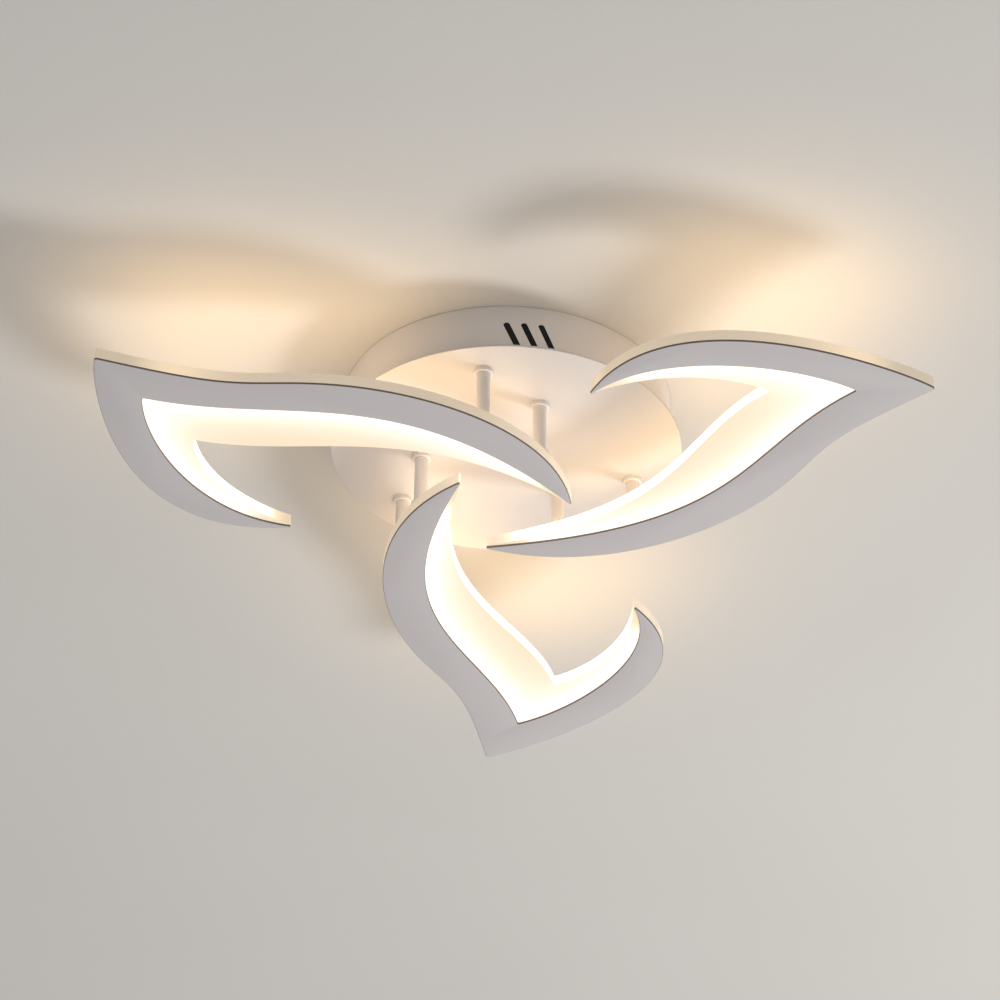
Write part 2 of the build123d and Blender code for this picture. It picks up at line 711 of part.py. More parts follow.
with BuildPart() as terminal_sleeves:
    with BuildSketch(Plane.XZ.offset(-block_y - sleeve_length / 2)):
        with Locations(*[(x, sleeve_level) for x in pole_places]):
            Circle(sleeve_diameter / 2)
            Circle(sleeve_bore / 2, mode=Mode.SUBTRACT)
    extrude(amount=sleeve_length)
    with BuildSketch(Plane.XY.offset(sleeve_level)):
        with Locations(*clamp_places):
            Circle(clamp_screw_diameter / 2 + thread_clearance)
    extrude(amount=sleeve_diameter, mode=Mode.SUBTRACT)
save(terminal_sleeves, "terminal_sleeves")

clamp_top = block_top - sleeve_drop
with BuildPart() as terminal_screws:
    with BuildSketch(Plane.XY.offset(sleeve_level + sleeve_bore / 2)):
        with Locations(*clamp_places):
            Circle(clamp_screw_diameter / 2)
    extrude(amount=clamp_top - sleeve_level - sleeve_bore / 2)
    with BuildSketch(Plane.XY.offset(clamp_top)):
        with Locations(*clamp_places):
            Rectangle(clamp_screw_diameter, clamp_drive_width)
    extrude(amount=-clamp_drive_depth, mode=Mode.SUBTRACT)
save(terminal_screws, "terminal_screws")

# Studs welded to the canopy disc for the driver, the terminal block and the earth
with BuildPart() as disc_studs:
    with BuildSketch(Plane.XY.offset(disc_top)):
        with Locations(*foot_places, block_stud):
            Circle(stud_diameter / 2)
        with Locations(earth_point):
            Circle(earth_stud_diameter / 2)
    extrude(amount=stud_height)
save(disc_studs, "disc_studs")

with BuildPart() as stud_nuts:
    for places, level in ((foot_places, foot_thickness), ([block_stud], block_foot_thickness)):
        with BuildSketch(Plane.XY.offset(disc_top + level)):
            with Locations(*places):
                RegularPolygon(hexagon_radius(stud_nut_across_flats), 6)
                Circle(stud_diameter / 2 + thread_clearance, mode=Mode.SUBTRACT)
        extrude(amount=stud_nut_height)
save(stud_nuts, "stud_nuts")

# Earth ring terminal and its nut
earth_x, earth_y = earth_point
barrel_level = disc_top + ring_barrel_diameter / 2
barrel_start = earth_y + ring_diameter / 2 - ring_barrel_overlap
barrel_end = barrel_start + ring_barrel_length
with BuildPart() as earth_ring:
    with BuildSketch(Plane.XY.offset(disc_top)):
        with Locations(earth_point):
            Circle(ring_diameter / 2)
        with Locations((earth_x, earth_y + ring_diameter / 2)):
            Rectangle(ring_barrel_diameter, ring_diameter / 2)
        with Locations(earth_point):
            Circle(earth_stud_diameter / 2 + thread_clearance, mode=Mode.SUBTRACT)
    extrude(amount=ring_thickness)
    with BuildSketch(Plane.XZ.offset(-barrel_end)):
        with Locations((earth_x, barrel_level)):
            Circle(ring_barrel_diameter / 2)
    extrude(amount=ring_barrel_length)
save(earth_ring, "earth_ring")

with BuildPart() as earth_nut:
    with BuildSketch(Plane.XY.offset(disc_top + ring_thickness)):
        with Locations(earth_point):
            RegularPolygon(hexagon_radius(earth_nut_across_flats), 6)
            Circle(earth_stud_diameter / 2 + thread_clearance, mode=Mode.SUBTRACT)
    extrude(amount=earth_nut_height)
save(earth_nut, "earth_nut")

# Earth screw of the ceiling bracket
bracket_foot = -bracket_thickness
with BuildPart() as bracket_earth_screw:
    with BuildSketch(Plane.XY.offset(bracket_foot)):
        with Locations((earth_hole_offset, 0)):
            Circle(bracket_screw_head_diameter / 2)
    extrude(amount=-bracket_screw_head_height)
    fillet(bracket_earth_screw.faces().sort_by(Axis.Z)[0].edges(), radius=bracket_screw_edge_radius)
    with BuildSketch(Plane.XY.offset(bracket_foot - bracket_screw_head_height)):
        with Locations((earth_hole_offset, 0)):
            Rectangle(*bracket_screw_cross)
            Rectangle(*bracket_screw_cross, rotation=90)
    extrude(amount=bracket_screw_cross_depth, mode=Mode.SUBTRACT)
    with BuildSketch(Plane.XY.offset(bracket_foot)):
        with Locations((earth_hole_offset, 0)):
            Circle(earth_stud_diameter / 2)
    extrude(amount=bracket_thickness)
save(bracket_earth_screw, "bracket_earth_screw")

# Plugs of the petal cables, in a row in front of the driver's sockets
plug_end = driver_right + plug_size[0]
with BuildPart() as petal_plugs:
    with BuildSketch(Plane.XY.offset(socket_middle - plug_size[2] / 2)):
        with Locations(*[(driver_right + plug_size[0] / 2, row) for row in socket_rows]):
            Rectangle(plug_size[0], plug_size[1])
    extrude(amount=plug_size[2])
save(petal_plugs, "petal_plugs")

# Petal cables: plug, across the canopy, down the outer post and out to the strip
cable_floor = plate_top + petal_cable_diameter / 2 + seat_gap
top_bend = cable_level - nipple_top
routes = {
    1: [(72.0, -41.0), (60.0, -58.0), (36.0, -69.0), (4.0, -73.0)],
    2: [(76.0, -13.0)],
    3: [(73.0, 2.0), (52.0, 18.0), (10.0, 19.0), (-30.0, 36.0)],
}
for number, turn in enumerate(petal_turns, 1):
    post = turned(outer_post, turn)
    row = socket_rows[number - 1]
    points = [turned(cable_end, turn) + Vector(0, 0, cable_floor)]
    points += [post + Vector(0, 0, cable_floor), post + Vector(0, 0, cable_level)]
    points += [Vector(x, y, cable_level) for x, y in reversed(routes[number])]
    points += [Vector(plug_end + plug_run, row, socket_middle), Vector(plug_end, row, socket_middle)]
    petal_cable = cable(f"petal_cable_{number}", points, petal_cable_diameter, {2: top_bend})
    save(petal_cable, f"petal_cable_{number}")

# Supply leads from the terminal block to the driver, and the earth lead to its stud
block_face = block_y - sleeve_length / 2 + lead_insertion
lead_rows = [driver_y + input_hole_pitch * row for row in (-0.5, 0.5)]
live_route = [
    (pole_places[0], block_face, sleeve_level),
    (pole_places[0], block_face - 16, sleeve_level),
    (-32.0, 20.0, cable_level),
    (-54.0, 8.0, cable_level),
    (-70.0, -2.0, cable_level),
    (-76.0, -14.0, cable_level),
    (-66.0, lead_rows[0], socket_middle),
    (driver_left, lead_rows[0], socket_middle),
]
neutral_route = [
    (pole_places[1], block_face, sleeve_level),
    (pole_places[1], block_face - 18, sleeve_level),
    (-22.0, 11.0, cable_level),
    (-44.0, 6.0, cable_level),
    (-60.0, 0.0, cable_level),
    (-66.0, -10.0, cable_level),
    (-60.0, lead_rows[1], socket_middle),
    (driver_left, lead_rows[1], socket_middle),
]
earth_route = [
    (pole_places[2], block_face, sleeve_level),
    (pole_places[2] + 1, block_face - 11, sleeve_level),
    (earth_x, barrel_end + 10, barrel_level),
    (earth_x, barrel_end, barrel_level),
]
save(cable("live_lead", live_route, lead_diameter, {}), "live_lead")
save(cable("neutral_lead", neutral_route, lead_diameter, {}), "neutral_lead")
save(cable("earth_lead", earth_route, lead_diameter, {}), "earth_lead")
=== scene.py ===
# %% [markdown]
# # A flush ceiling light with three glowing petals
# The lamp hangs under a white ceiling. A round canopy with slanting vents carries three flat petals
# on short posts. Each petal is a painted steel plate under a slab of opal acrylic, and a strip of
# light chips on edge inside the slab makes it glow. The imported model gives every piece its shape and
# place. This script adds the finishes, the light in the acrylic, the threads, the room and a camera.
# Everything is in metres, with the ceiling at z = 0 and the lamp below it.

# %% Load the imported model
import json
import math

import bmesh
import bpy
import numpy as np
from mathutils import Matrix, Vector
from mathutils.bvhtree import BVHTree

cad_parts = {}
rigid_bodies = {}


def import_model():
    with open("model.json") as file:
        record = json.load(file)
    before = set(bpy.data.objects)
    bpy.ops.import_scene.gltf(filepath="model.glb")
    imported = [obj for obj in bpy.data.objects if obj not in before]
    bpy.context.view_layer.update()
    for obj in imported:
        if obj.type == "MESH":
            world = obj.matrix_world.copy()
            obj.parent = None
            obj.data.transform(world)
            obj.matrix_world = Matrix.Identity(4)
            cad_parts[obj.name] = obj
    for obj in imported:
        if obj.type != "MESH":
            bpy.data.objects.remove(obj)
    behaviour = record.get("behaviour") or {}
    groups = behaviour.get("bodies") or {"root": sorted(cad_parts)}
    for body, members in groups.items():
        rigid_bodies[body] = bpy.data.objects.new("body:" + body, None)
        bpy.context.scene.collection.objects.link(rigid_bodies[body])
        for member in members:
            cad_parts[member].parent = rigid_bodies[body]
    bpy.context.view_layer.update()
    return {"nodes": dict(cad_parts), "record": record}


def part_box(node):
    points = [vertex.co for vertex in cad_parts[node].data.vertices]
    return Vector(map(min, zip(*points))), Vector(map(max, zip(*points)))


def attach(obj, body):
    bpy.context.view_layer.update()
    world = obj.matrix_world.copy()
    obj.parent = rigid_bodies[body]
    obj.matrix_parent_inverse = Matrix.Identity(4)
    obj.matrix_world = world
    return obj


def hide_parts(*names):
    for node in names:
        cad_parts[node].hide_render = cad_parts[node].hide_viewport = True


for start_object in list(bpy.data.objects):
    bpy.data.objects.remove(start_object)
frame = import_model()
nodes = frame["nodes"]
MM = 0.001
PETALS = (1, 2, 3)

# %% [markdown]
# ## Small helpers
# A colour is written as it would be picked on a screen and turned to the linear value that the
# renderer works with. One helper adds a node: an input that is given a socket is linked, and any
# other value is set on the input itself. Pattern sizes are written in millimetres.

# %% Colours, nodes and pattern sizes
MIX_FACTOR, MIX_A, MIX_B, MIX_COLOUR = 0, 6, 7, 2  # the colour sockets of a Mix node


def linear(hex_colour):
    """An sRGB hex colour as a linear colour with full alpha."""
    parts = [int(hex_colour[i:i + 2], 16) / 255 for i in (1, 3, 5)]
    parts = [p / 12.92 if p <= 0.04045 else ((p + 0.055) / 1.055) ** 2.4 for p in parts]
    return (*parts, 1.0)


def set_inputs(tree, node, inputs):
    """Sets or links inputs, which are named by their label or by their number."""
    for name, value in inputs.items():
        if isinstance(value, bpy.types.NodeSocket):
            tree.links.new(value, node.inputs[name])
        else:
            node.inputs[name].default_value = value


def add_node(tree, kind, inputs=None, **settings):
    """Adds a node with its settings; an input takes a value, or a socket to link."""
    node = tree.nodes.new(kind)
    for name, value in settings.items():
        setattr(node, name, value)
    set_inputs(tree, node, inputs or {})
    return node


def pattern_scale(size_mm):
    """The texture scale that gives features of this size."""
    return 1000 / size_mm


# %% [markdown]
# ## Finishes
# Every finish starts the same way: a Principled shader, an output, and Object coordinates, which stay
# fixed to the piece. Most real surfaces differ a little from place to place, so three details are
# shared: two close colours in soft clouds, a number that wanders, and a skin of small bumps.

# %% The start of a finish, and its shared details
def new_finish(name, shader_inputs):
    """A material with its tree, its Principled shader and its texture coordinates."""
    material = bpy.data.materials.new(name)
    material.use_nodes = True
    tree = material.node_tree
    tree.nodes.clear()
    shader = add_node(tree, "ShaderNodeBsdfPrincipled", shader_inputs)
    add_node(tree, "ShaderNodeOutputMaterial", {"Surface": shader.outputs["BSDF"]})
    return material, tree, shader, add_node(tree, "ShaderNodeTexCoord")


def clouds(tree, place, size_mm, first, second):
    """Two colours in soft clouds."""
    noise = add_node(tree, "ShaderNodeTexNoise", {"Vector": place, "Scale": pattern_scale(size_mm)})
    colours = {MIX_FACTOR: noise.outputs["Fac"], MIX_A: linear(first), MIX_B: linear(second)}
    return add_node(tree, "ShaderNodeMix", colours, data_type="RGBA").outputs[MIX_COLOUR]


NOISE_LOW, NOISE_HIGH = 0.3, 0.7  # a noise texture seldom leaves this range


def wandering(tree, place, size_mm, low, high):
    """A number that wanders between two values."""
    noise = add_node(tree, "ShaderNodeTexNoise", {"Vector": place, "Scale": pattern_scale(size_mm)})
    spread = {"Value": noise.outputs["Fac"], "From Min": NOISE_LOW, "From Max": NOISE_HIGH}
    spread.update({"To Min": low, "To Max": high})
    return add_node(tree, "ShaderNodeMapRange", spread).outputs["Result"]


def bumpy_skin(tree, shader, place, size_mm, depth_mm, detail=2.0):
    """Small bumps all over the surface."""
    grain = {"Vector": place, "Scale": pattern_scale(size_mm), "Detail": detail}
    noise = add_node(tree, "ShaderNodeTexNoise", grain)
    relief = {"Height": noise.outputs["Fac"], "Distance": depth_mm * MM}
    set_inputs(tree, shader, {"Normal": add_node(tree, "ShaderNodeBump", relief).outputs["Normal"]})


# %% [markdown]
# ### Paint
# The canopy, posts and collars are steel with a satin white powder coat. The powder melts to a skin with
# a faint orange peel, about 2 mm from bump to bump, so the eye sees a soft sheen without a sharp
# reflection. The round plate of the canopy is coated apart from the drum with the same powder. It is
# painted a shade greyer as painted shade, because the petals light it strongly from near by. The face
# plates carry a flatter coat, drawn greyer than the canopy's, that looks the same from every side. They
# are pressed from sheet, and their thin edge is painted dark brown as painted shade, the shade that the
# edge lies in. An attribute on the plates marks that edge.

# %% Powder coats
def powder_coat(name, first, second):
    """White satin powder coat: a soft sheen and a faint orange peel."""
    material, tree, shader, where = new_finish(name, {"IOR": 1.5})
    place = where.outputs["Object"]
    set_inputs(tree, shader, {
        "Base Color": clouds(tree, place, 45, first, second),
        "Roughness": wandering(tree, place, 9, 0.38, 0.50),
    })
    bumpy_skin(tree, shader, place, 2.0, 0.012)
    return material


def plate_coat():
    """Flat grey-white powder coat, with its edge painted dark as painted shade."""
    material, tree, shader, where = new_finish("flat powder coat on pressed sheet", {"IOR": 1.5})
    place = where.outputs["Object"]
    # The face is drawn greyer than the canopy's coat.
    face = clouds(tree, place, 70, "#C5BEBB", "#BFB9B5")
    edge = add_node(tree, "ShaderNodeAttribute", attribute_name="painted_shade_edge").outputs["Fac"]
    # The dark brown on the marked edge is painted shade.
    sides = {MIX_FACTOR: edge, MIX_A: face, MIX_B: linear("#6E6259")}
    set_inputs(tree, shader, {
        "Base Color": add_node(tree, "ShaderNodeMix", sides, data_type="RGBA").outputs[MIX_COLOUR],
        "Roughness": wandering(tree, place, 12, 0.50, 0.62),
    })
    bumpy_skin(tree, shader, place, 1.6, 0.015)
    return material


# %% [markdown]
# ### Plated metal
# The bracket, nuts and washers are bright zinc on steel: bluish grey, with a cloudy shine and fine
# rubbing marks from the tumbling drum. The marks are about 0.2 mm wide on the real part and are drawn
# 1.4 mm wide, so that they show. The nipples are yellow zinc, whose colour drifts from straw to bronze.
# The side screws are satin nickel, warmer than zinc. The terminal sleeves are bare brass, a clear
# yellow, and the earth ring is tinned copper, a soft pale grey. A metal keeps the default IOR: its
# colour alone says what it reflects.

# %% Metals
MARK_LENGTH, MARK_WIDTH = 7.0, 1.4  # of a rubbing mark, in mm
SHINE_SHARE = 0.6  # the shine has smaller clouds than the colour


def metal(name, first, second, cloud_mm, low, high):
    """Plated metal with clouds in its colour and shine, and fine rubbing marks."""
    material, tree, shader, where = new_finish(name, {"Metallic": 1.0})
    place = where.outputs["Object"]
    set_inputs(tree, shader, {
        "Base Color": clouds(tree, place, cloud_mm, first, second),
        "Roughness": wandering(tree, place, SHINE_SHARE * cloud_mm, low, high),
    })
    narrower = MARK_LENGTH / MARK_WIDTH
    drawn = {"Vector": place, "Scale": (1.0, narrower, narrower)}
    drawn = add_node(tree, "ShaderNodeMapping", drawn).outputs["Vector"]
    bumpy_skin(tree, shader, drawn, MARK_LENGTH, 0.002)
    return material


# %% [markdown]
# ### Plastics
# The driver's case is moulded in a spark-eroded mould, which leaves a fine matt grain. The terminal
# block, sockets and plugs are natural nylon, which lets a little light in and looks waxy. Cable
# sheaths are soft vinyl with a slight gloss, and the capacitors' shrunk sleeves are slick and black.
# The light strip is a flexible circuit under a chalky white lacquer. The real grains are finer than a
# tenth of a millimetre and are drawn 0.5 to 3 mm wide, so that they show. The earth lead is green with
# a yellow stripe along its upper side, where its surface looks more than about 30 degrees above level.

# %% Plastics
def moulded_plastic(name, first, second, roughness, grain_mm, depth_mm, milky=0.0):
    """Moulded plastic with the grain of its mould; milky is how much light goes in."""
    inputs = {"IOR": 1.53, "Subsurface Weight": milky, "Subsurface Scale": 1.5 * MM}
    material, tree, shader, where = new_finish(name, inputs)
    place = where.outputs["Object"]
    set_inputs(tree, shader, {
        "Base Color": clouds(tree, place, 18, first, second),
        "Roughness": wandering(tree, place, 5, roughness - 0.05, roughness + 0.05),
    })
    bumpy_skin(tree, shader, place, grain_mm, depth_mm, detail=4.0)
    return material


STRIPE_FROM, STRIPE_TO = 0.45, 0.55  # the height of the normal where green turns to yellow


def striped_sheath():
    """Green vinyl with a yellow stripe."""
    material, tree, shader, where = new_finish("green and yellow vinyl", {"IOR": 1.54})
    place = where.outputs["Object"]
    upward = add_node(tree, "ShaderNodeSeparateXYZ", {"Vector": where.outputs["Normal"]})
    stripe = {"Value": upward.outputs["Z"], "From Min": STRIPE_FROM, "From Max": STRIPE_TO}
    stripe = add_node(tree, "ShaderNodeMapRange", stripe).outputs["Result"]
    green = clouds(tree, place, 6, "#4F8A2B", "#5A9633")
    colours = {MIX_FACTOR: stripe, MIX_A: green, MIX_B: linear("#E3CB3A")}
    set_inputs(tree, shader, {
        "Base Color": add_node(tree, "ShaderNodeMix", colours, data_type="RGBA").outputs[MIX_COLOUR],
        "Roughness": wandering(tree, place, 4, 0.35, 0.45),
    })
    bumpy_skin(tree, shader, place, 1.5, 0.01)
    return material


# %% [markdown]
# ### The driver's board and the lights
# A circuit board is green lacquer over copper tracks, which show as slightly raised, lighter lines.
# A brick pattern draws them at the usual pitch of 2.54 mm. Ferrite is a dark ceramic with a dull
# speckle. Each light chip is a block of yellow phosphor gel that shines warm white.

# %% Board, ferrite and light chips
def circuit_board():
    """Green solder lacquer over copper tracks."""
    material, tree, shader, where = new_finish("green solder lacquer", {"Roughness": 0.32})
    tracks = add_node(tree, "ShaderNodeTexBrick", {
        "Vector": where.outputs["Object"],
        "Color1": linear("#14512F"),
        "Color2": linear("#195A35"),
        "Mortar": linear("#2E7A4C"),
        "Scale": 1.0,
        "Brick Width": 7.62 * MM,
        "Row Height": 2.54 * MM,
        "Mortar Size": 0.3 * MM,
    })
    relief = add_node(tree, "ShaderNodeBump", {"Height": tracks.outputs["Fac"], "Distance": 0.035 * MM})
    set_inputs(tree, shader, {
        "Base Color": tracks.outputs["Color"],
        "Normal": relief.outputs["Normal"],
    })
    return material


def phosphor_gel():
    """Yellow phosphor gel, lit."""
    light = {"Emission Color": linear("#FFE2A8"), "Emission Strength": 2.0, "Roughness": 0.25}
    material, tree, shader, where = new_finish("yellow phosphor gel", light)
    colour = clouds(tree, where.outputs["Object"], 2, "#F0C443", "#F5D25C")
    set_inputs(tree, shader, {"Base Color": colour})
    return material


# %% [markdown]
# ### Opal acrylic
# The diffusers are cast acrylic with a white pigment that scatters the light of the strip. How much
# light leaves a point depends on its distance to the chips, which a later step works out and stores in
# an attribute named glow. Light that has gone far through the pigment has lost its blue, so the dim
# parts are cream and the bright ones near the strip almost white: a colour ramp over glow gives both.
# The side without a plate lights the whole ceiling. A picture that shows the ceiling as the eye does
# would show that side as a blank white, so it sends more and warmer light into the room than the
# camera is shown. To the eye the faces are milky with a wet gloss, and the polished rims are paler.
# Cast sheet is never quite flat, so a faint wave about 30 mm long bends its reflections.

# %% Opal acrylic
CEILING_GAIN = 3.0  # how much more light the ceiling side sends out than it shows
DIM_GLOW, BRIGHT_GLOW = 0.6, 1.8  # the glow at the two ends of the colour ramp


def opal_acrylic():
    """Opal cast acrylic, polished, which glows by its glow attribute."""
    material, tree, shader, where = new_finish("opal cast acrylic", {"IOR": 1.49, "Roughness": 0.16})
    place = where.outputs["Object"]
    glow = add_node(tree, "ShaderNodeAttribute", attribute_name="glow").outputs["Fac"]
    brightness = {"Value": glow, "From Min": DIM_GLOW, "From Max": BRIGHT_GLOW}
    brightness = add_node(tree, "ShaderNodeMapRange", brightness).outputs["Result"]
    warmth = add_node(tree, "ShaderNodeValToRGB", {"Fac": brightness})
    stops = warmth.color_ramp.elements
    stops[0].color = linear("#FFDCA6")
    stops[1].color = linear("#FFEFE6")
    stops.new(0.25).color = linear("#FFDFC6")
    upper = add_node(tree, "ShaderNodeAttribute", attribute_name="ceiling_side").outputs["Fac"]
    shown = add_node(tree, "ShaderNodeLightPath").outputs["Is Camera Ray"]
    sent_up = add_node(tree, "ShaderNodeMath", {0: upper, 1: shown},
                       operation="SUBTRACT", use_clamp=True).outputs[0]
    gain = {0: sent_up, 1: CEILING_GAIN - 1, 2: 1.0}
    gain = add_node(tree, "ShaderNodeMath", gain, operation="MULTIPLY_ADD").outputs[0]
    strength = add_node(tree, "ShaderNodeMath", {0: glow, 1: gain}, operation="MULTIPLY").outputs[0]
    light = {MIX_FACTOR: sent_up, MIX_A: warmth.outputs["Color"], MIX_B: linear("#FFDDAF")}
    rim = add_node(tree, "ShaderNodeAttribute", attribute_name="rim").outputs["Fac"]
    face = clouds(tree, place, 40, "#B6B2AC", "#B0ACA6")
    pale = {MIX_FACTOR: rim, MIX_A: face, MIX_B: linear("#D3CFC9")}
    set_inputs(tree, shader, {
        "Base Color": add_node(tree, "ShaderNodeMix", pale, data_type="RGBA").outputs[MIX_COLOUR],
        "Emission Color": add_node(tree, "ShaderNodeMix", light, data_type="RGBA").outputs[MIX_COLOUR],
        "Emission Strength": strength,
    })
    bumpy_skin(tree, shader, place, 30, 0.02)
    return material


# %% [markdown]
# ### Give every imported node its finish
# The record already says which finish each node has, so one table from its slots to the materials
# dresses them all. The nodes keep their meshes as they are.

# %% Dress the nodes
finishes = {
    "white_paint": powder_coat("satin powder coat", "#DCD7D3", "#D5D0CC"),
    "zinc_steel": metal("bright zinc plate", "#BFC4C9", "#A8ADB2", 5, 0.32, 0.46),
    "screw_nickel": metal("satin nickel plate", "#CEC8BD", "#C2BBAF", 4, 0.20, 0.30),
    "nipple_steel": metal("yellow zinc plate", "#D2BE78", "#B89A68", 4, 0.24, 0.36),
    "opal_acrylic": opal_acrylic(),
    "strip_white": moulded_plastic("white flexible circuit", "#EFEDE8", "#E7E4DD", 0.45, 1.0, 0.01),
    "led_phosphor": phosphor_gel(),
    "case_plastic": moulded_plastic("spark-eroded casing", "#E6E4DF", "#E0DDD7", 0.55, 0.9, 0.03),
    "board_green": circuit_board(),
    "ferrite": moulded_plastic("ferrite", "#2B2928", "#1F1E1E", 0.60, 0.5, 0.02),
    "capacitor_sleeve": moulded_plastic("shrink sleeve", "#15181C", "#1B1F24", 0.30, 3.0, 0.01),
    "nylon": moulded_plastic("natural nylon", "#ECE8DC", "#E5E0D2", 0.42, 1.2, 0.01, milky=0.3),
    "brass": metal("bare brass", "#D3AE62", "#C39C50", 3, 0.22, 0.34),
    "cable_white": moulded_plastic("white vinyl sheath", "#E9E6E0", "#E2DED7", 0.38, 1.6, 0.01),
    "lead_brown": moulded_plastic("brown vinyl", "#5B3A22", "#643F26", 0.38, 1.6, 0.01),
    "lead_blue": moulded_plastic("blue vinyl", "#2C5EA6", "#3567AF", 0.38, 1.6, 0.01),
    "lead_earth": striped_sheath(),
    "tinned_copper": metal("tinned copper", "#CFCDC8", "#BFBDB9", 3, 0.28, 0.40),
}
slot_of = {part["node"]: part["material_slot"] for part in frame["record"]["subparts"]}
plate_finish = plate_coat()
# The round plate gets the drum's coat a shade greyer. This is painted shade, because the petals light it
# strongly from near by.
disc_coat_with_painted_shade = powder_coat("satin powder coat on the round plate", "#CBC6C2", "#C5C0BC")
for name, node in nodes.items():
    finish = disc_coat_with_painted_shade if name == "canopy_disc" else finishes[slot_of[name]]
    node.data.materials.clear()
    node.data.materials.append(finish)
print("finishes", len(finishes) + 2)

# %% [markdown]
# ## The light inside the acrylic
# Each chip throws its light ahead of it, away from the strip and towards the petal's open middle. A
# point of the slab receives more when it is near a chip and straight ahead of it, and the pigment
# soaks light up on the way. A little light also spreads in every direction, which is why the outer
# rims glow dimly. Adding this up over all the chips gives the bright band beside the strip, the bright
# corner that both arms light, and the sudden dim tip past the end of the strip. The renderer could
# carry the light through the pigment itself, but that is slow and grainy, and the sum is neither.

# %% Take a node's mesh apart
SAME_POINT = 0.001 * MM  # corners this near are one


def loose_parts(mesh_object):
    """The corner points of every separate solid in a node's mesh."""
    mesh = bmesh.new()
    mesh.from_mesh(mesh_object.data)
    bmesh.ops.remove_doubles(mesh, verts=mesh.verts, dist=SAME_POINT)
    parts, seen = [], set()
    for start in mesh.verts:
        if start in seen:
            continue
        part, waiting = [], [start]
        seen.add(start)
        while waiting:
            corner = waiting.pop()
            part.append(corner.co.copy())
            for edge in corner.link_edges:
                other = edge.other_vert(corner)
                if other not in seen:
                    seen.add(other)
                    waiting.append(other)
        parts.append(part)
    mesh.free()
    return parts


# %% Find the chips and the way they face
def surface_tree(mesh_object):
    """A search tree over a node's faces."""
    mesh = mesh_object.data
    corners = [vertex.co for vertex in mesh.vertices]
    return BVHTree.FromPolygons(corners, [tuple(face.vertices) for face in mesh.polygons])


def chips_of(number):
    """Where a petal's chips are, and the unit direction that each one shines in."""
    strip = surface_tree(nodes[f"led_strip_{number}"])
    places, facings = [], []
    for corners in loose_parts(nodes[f"led_chips_{number}"]):
        centre = sum(corners, Vector()) / len(corners)
        on_strip = strip.find_nearest(centre)[0]
        places.append(centre)
        facings.append((centre - on_strip).normalized())
    return np.array(places), np.array(facings)


# %% Add up the light of the chips
THROW = 19 * MM  # distance over which the pigment takes away most of a chip's light
SPREAD = 8 * MM  # how far the light that goes every way reaches
AHEAD_GAIN = 0.0037  # brightness of the thrown light
SPREAD_GAIN = 0.065  # brightness of the light that goes every way
FACE_FLOOR = 0.52  # light that has bounced about in the slab for long
RIM_FLOOR = 0.27  # the same, on a rim
RIM_GAIN = 17.0  # a polished rim lets out all the light that meets it head on
STEEP = 0.5  # a face whose normal rises less than this stands upright


def light_at(points, normals, chips, facings):
    """The light that leaves each point; a normal is the way that the point's face looks."""
    ahead_light, spread_light = np.zeros(len(points)), np.zeros(len(points))
    upright = np.abs(normals[:, 2]) < STEEP
    for chip, ahead in zip(chips, facings):
        reach = points - chip
        distance = np.linalg.norm(reach, axis=1) + SAME_POINT  # never zero
        reach /= distance[:, None]
        thrown = np.clip(reach @ ahead, 0, 1) * np.exp(-distance / THROW) / distance
        head_on = np.clip(np.einsum("ij,ij->i", reach, normals), 0, 1)
        ahead_light += AHEAD_GAIN * thrown * np.where(upright, RIM_GAIN * head_on, 1)
        spread_light += SPREAD_GAIN * np.exp(-distance / SPREAD)
    return np.where(upright, RIM_FLOOR, FACE_FLOOR) + ahead_light + spread_light


# %% [markdown]
# The slab's own faces are large, and an attribute only has a value at corners. So a copy of the slab
# is merged, its flat faces are joined, and it is sliced along both directions into a fine grid. The
# light is worked out for each corner of each face, so a rim and the face beside it can differ. A cut
# that runs very near to a corner would leave a sliver, which shades as a dark streak, so such corners
# are merged. A face counts as a rim when it has height, and every edge beside a level face is sharp.

# %% Copy a node's mesh, and turn a mesh into a piece
FLAT_ANGLE = math.radians(0.1)  # faces that differ by less are joined
SHARP_ANGLE = math.radians(35)  # edges that turn by more are shaded sharp


def merged_copy(node):
    """A node's mesh with its doubles merged and its flat faces joined."""
    mesh = bmesh.new()
    mesh.from_mesh(node.data)
    bmesh.ops.remove_doubles(mesh, verts=mesh.verts, dist=SAME_POINT)
    bmesh.ops.dissolve_limit(mesh, angle_limit=FLAT_ANGLE, verts=mesh.verts, edges=mesh.edges)
    return mesh


def finished_piece(mesh, name, material, body, replaced=()):
    """Turns a working mesh into a smooth-shaded piece that rides on a body."""
    data = bpy.data.meshes.new(name)
    mesh.to_mesh(data)
    print(name, len(data.polygons), "faces,", round(mesh.calc_volume() * 1e9), "cubic mm")
    mesh.free()
    return add_piece(data, name, material, body, replaced)


def add_piece(data, name, material, body, replaced=()):
    """Adds a mesh to the model as a piece with its finish, body and slot."""
    data.polygons.foreach_set("use_smooth", [True] * len(data.polygons))
    data.set_sharp_from_angle(angle=SHARP_ANGLE)
    data.materials.clear()
    data.materials.append(material)
    piece = bpy.data.objects.new(name, data)
    bpy.context.scene.collection.objects.link(piece)
    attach(piece, body)
    if replaced:
        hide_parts(*replaced)
    return piece


# %% Slice a slab
GRID = 2.0 * MM
SLIVER = 0.05 * MM  # a cut this near to a corner is merged with it
ON_CUT = 0.0001 * MM  # a corner this near to a cut is on it


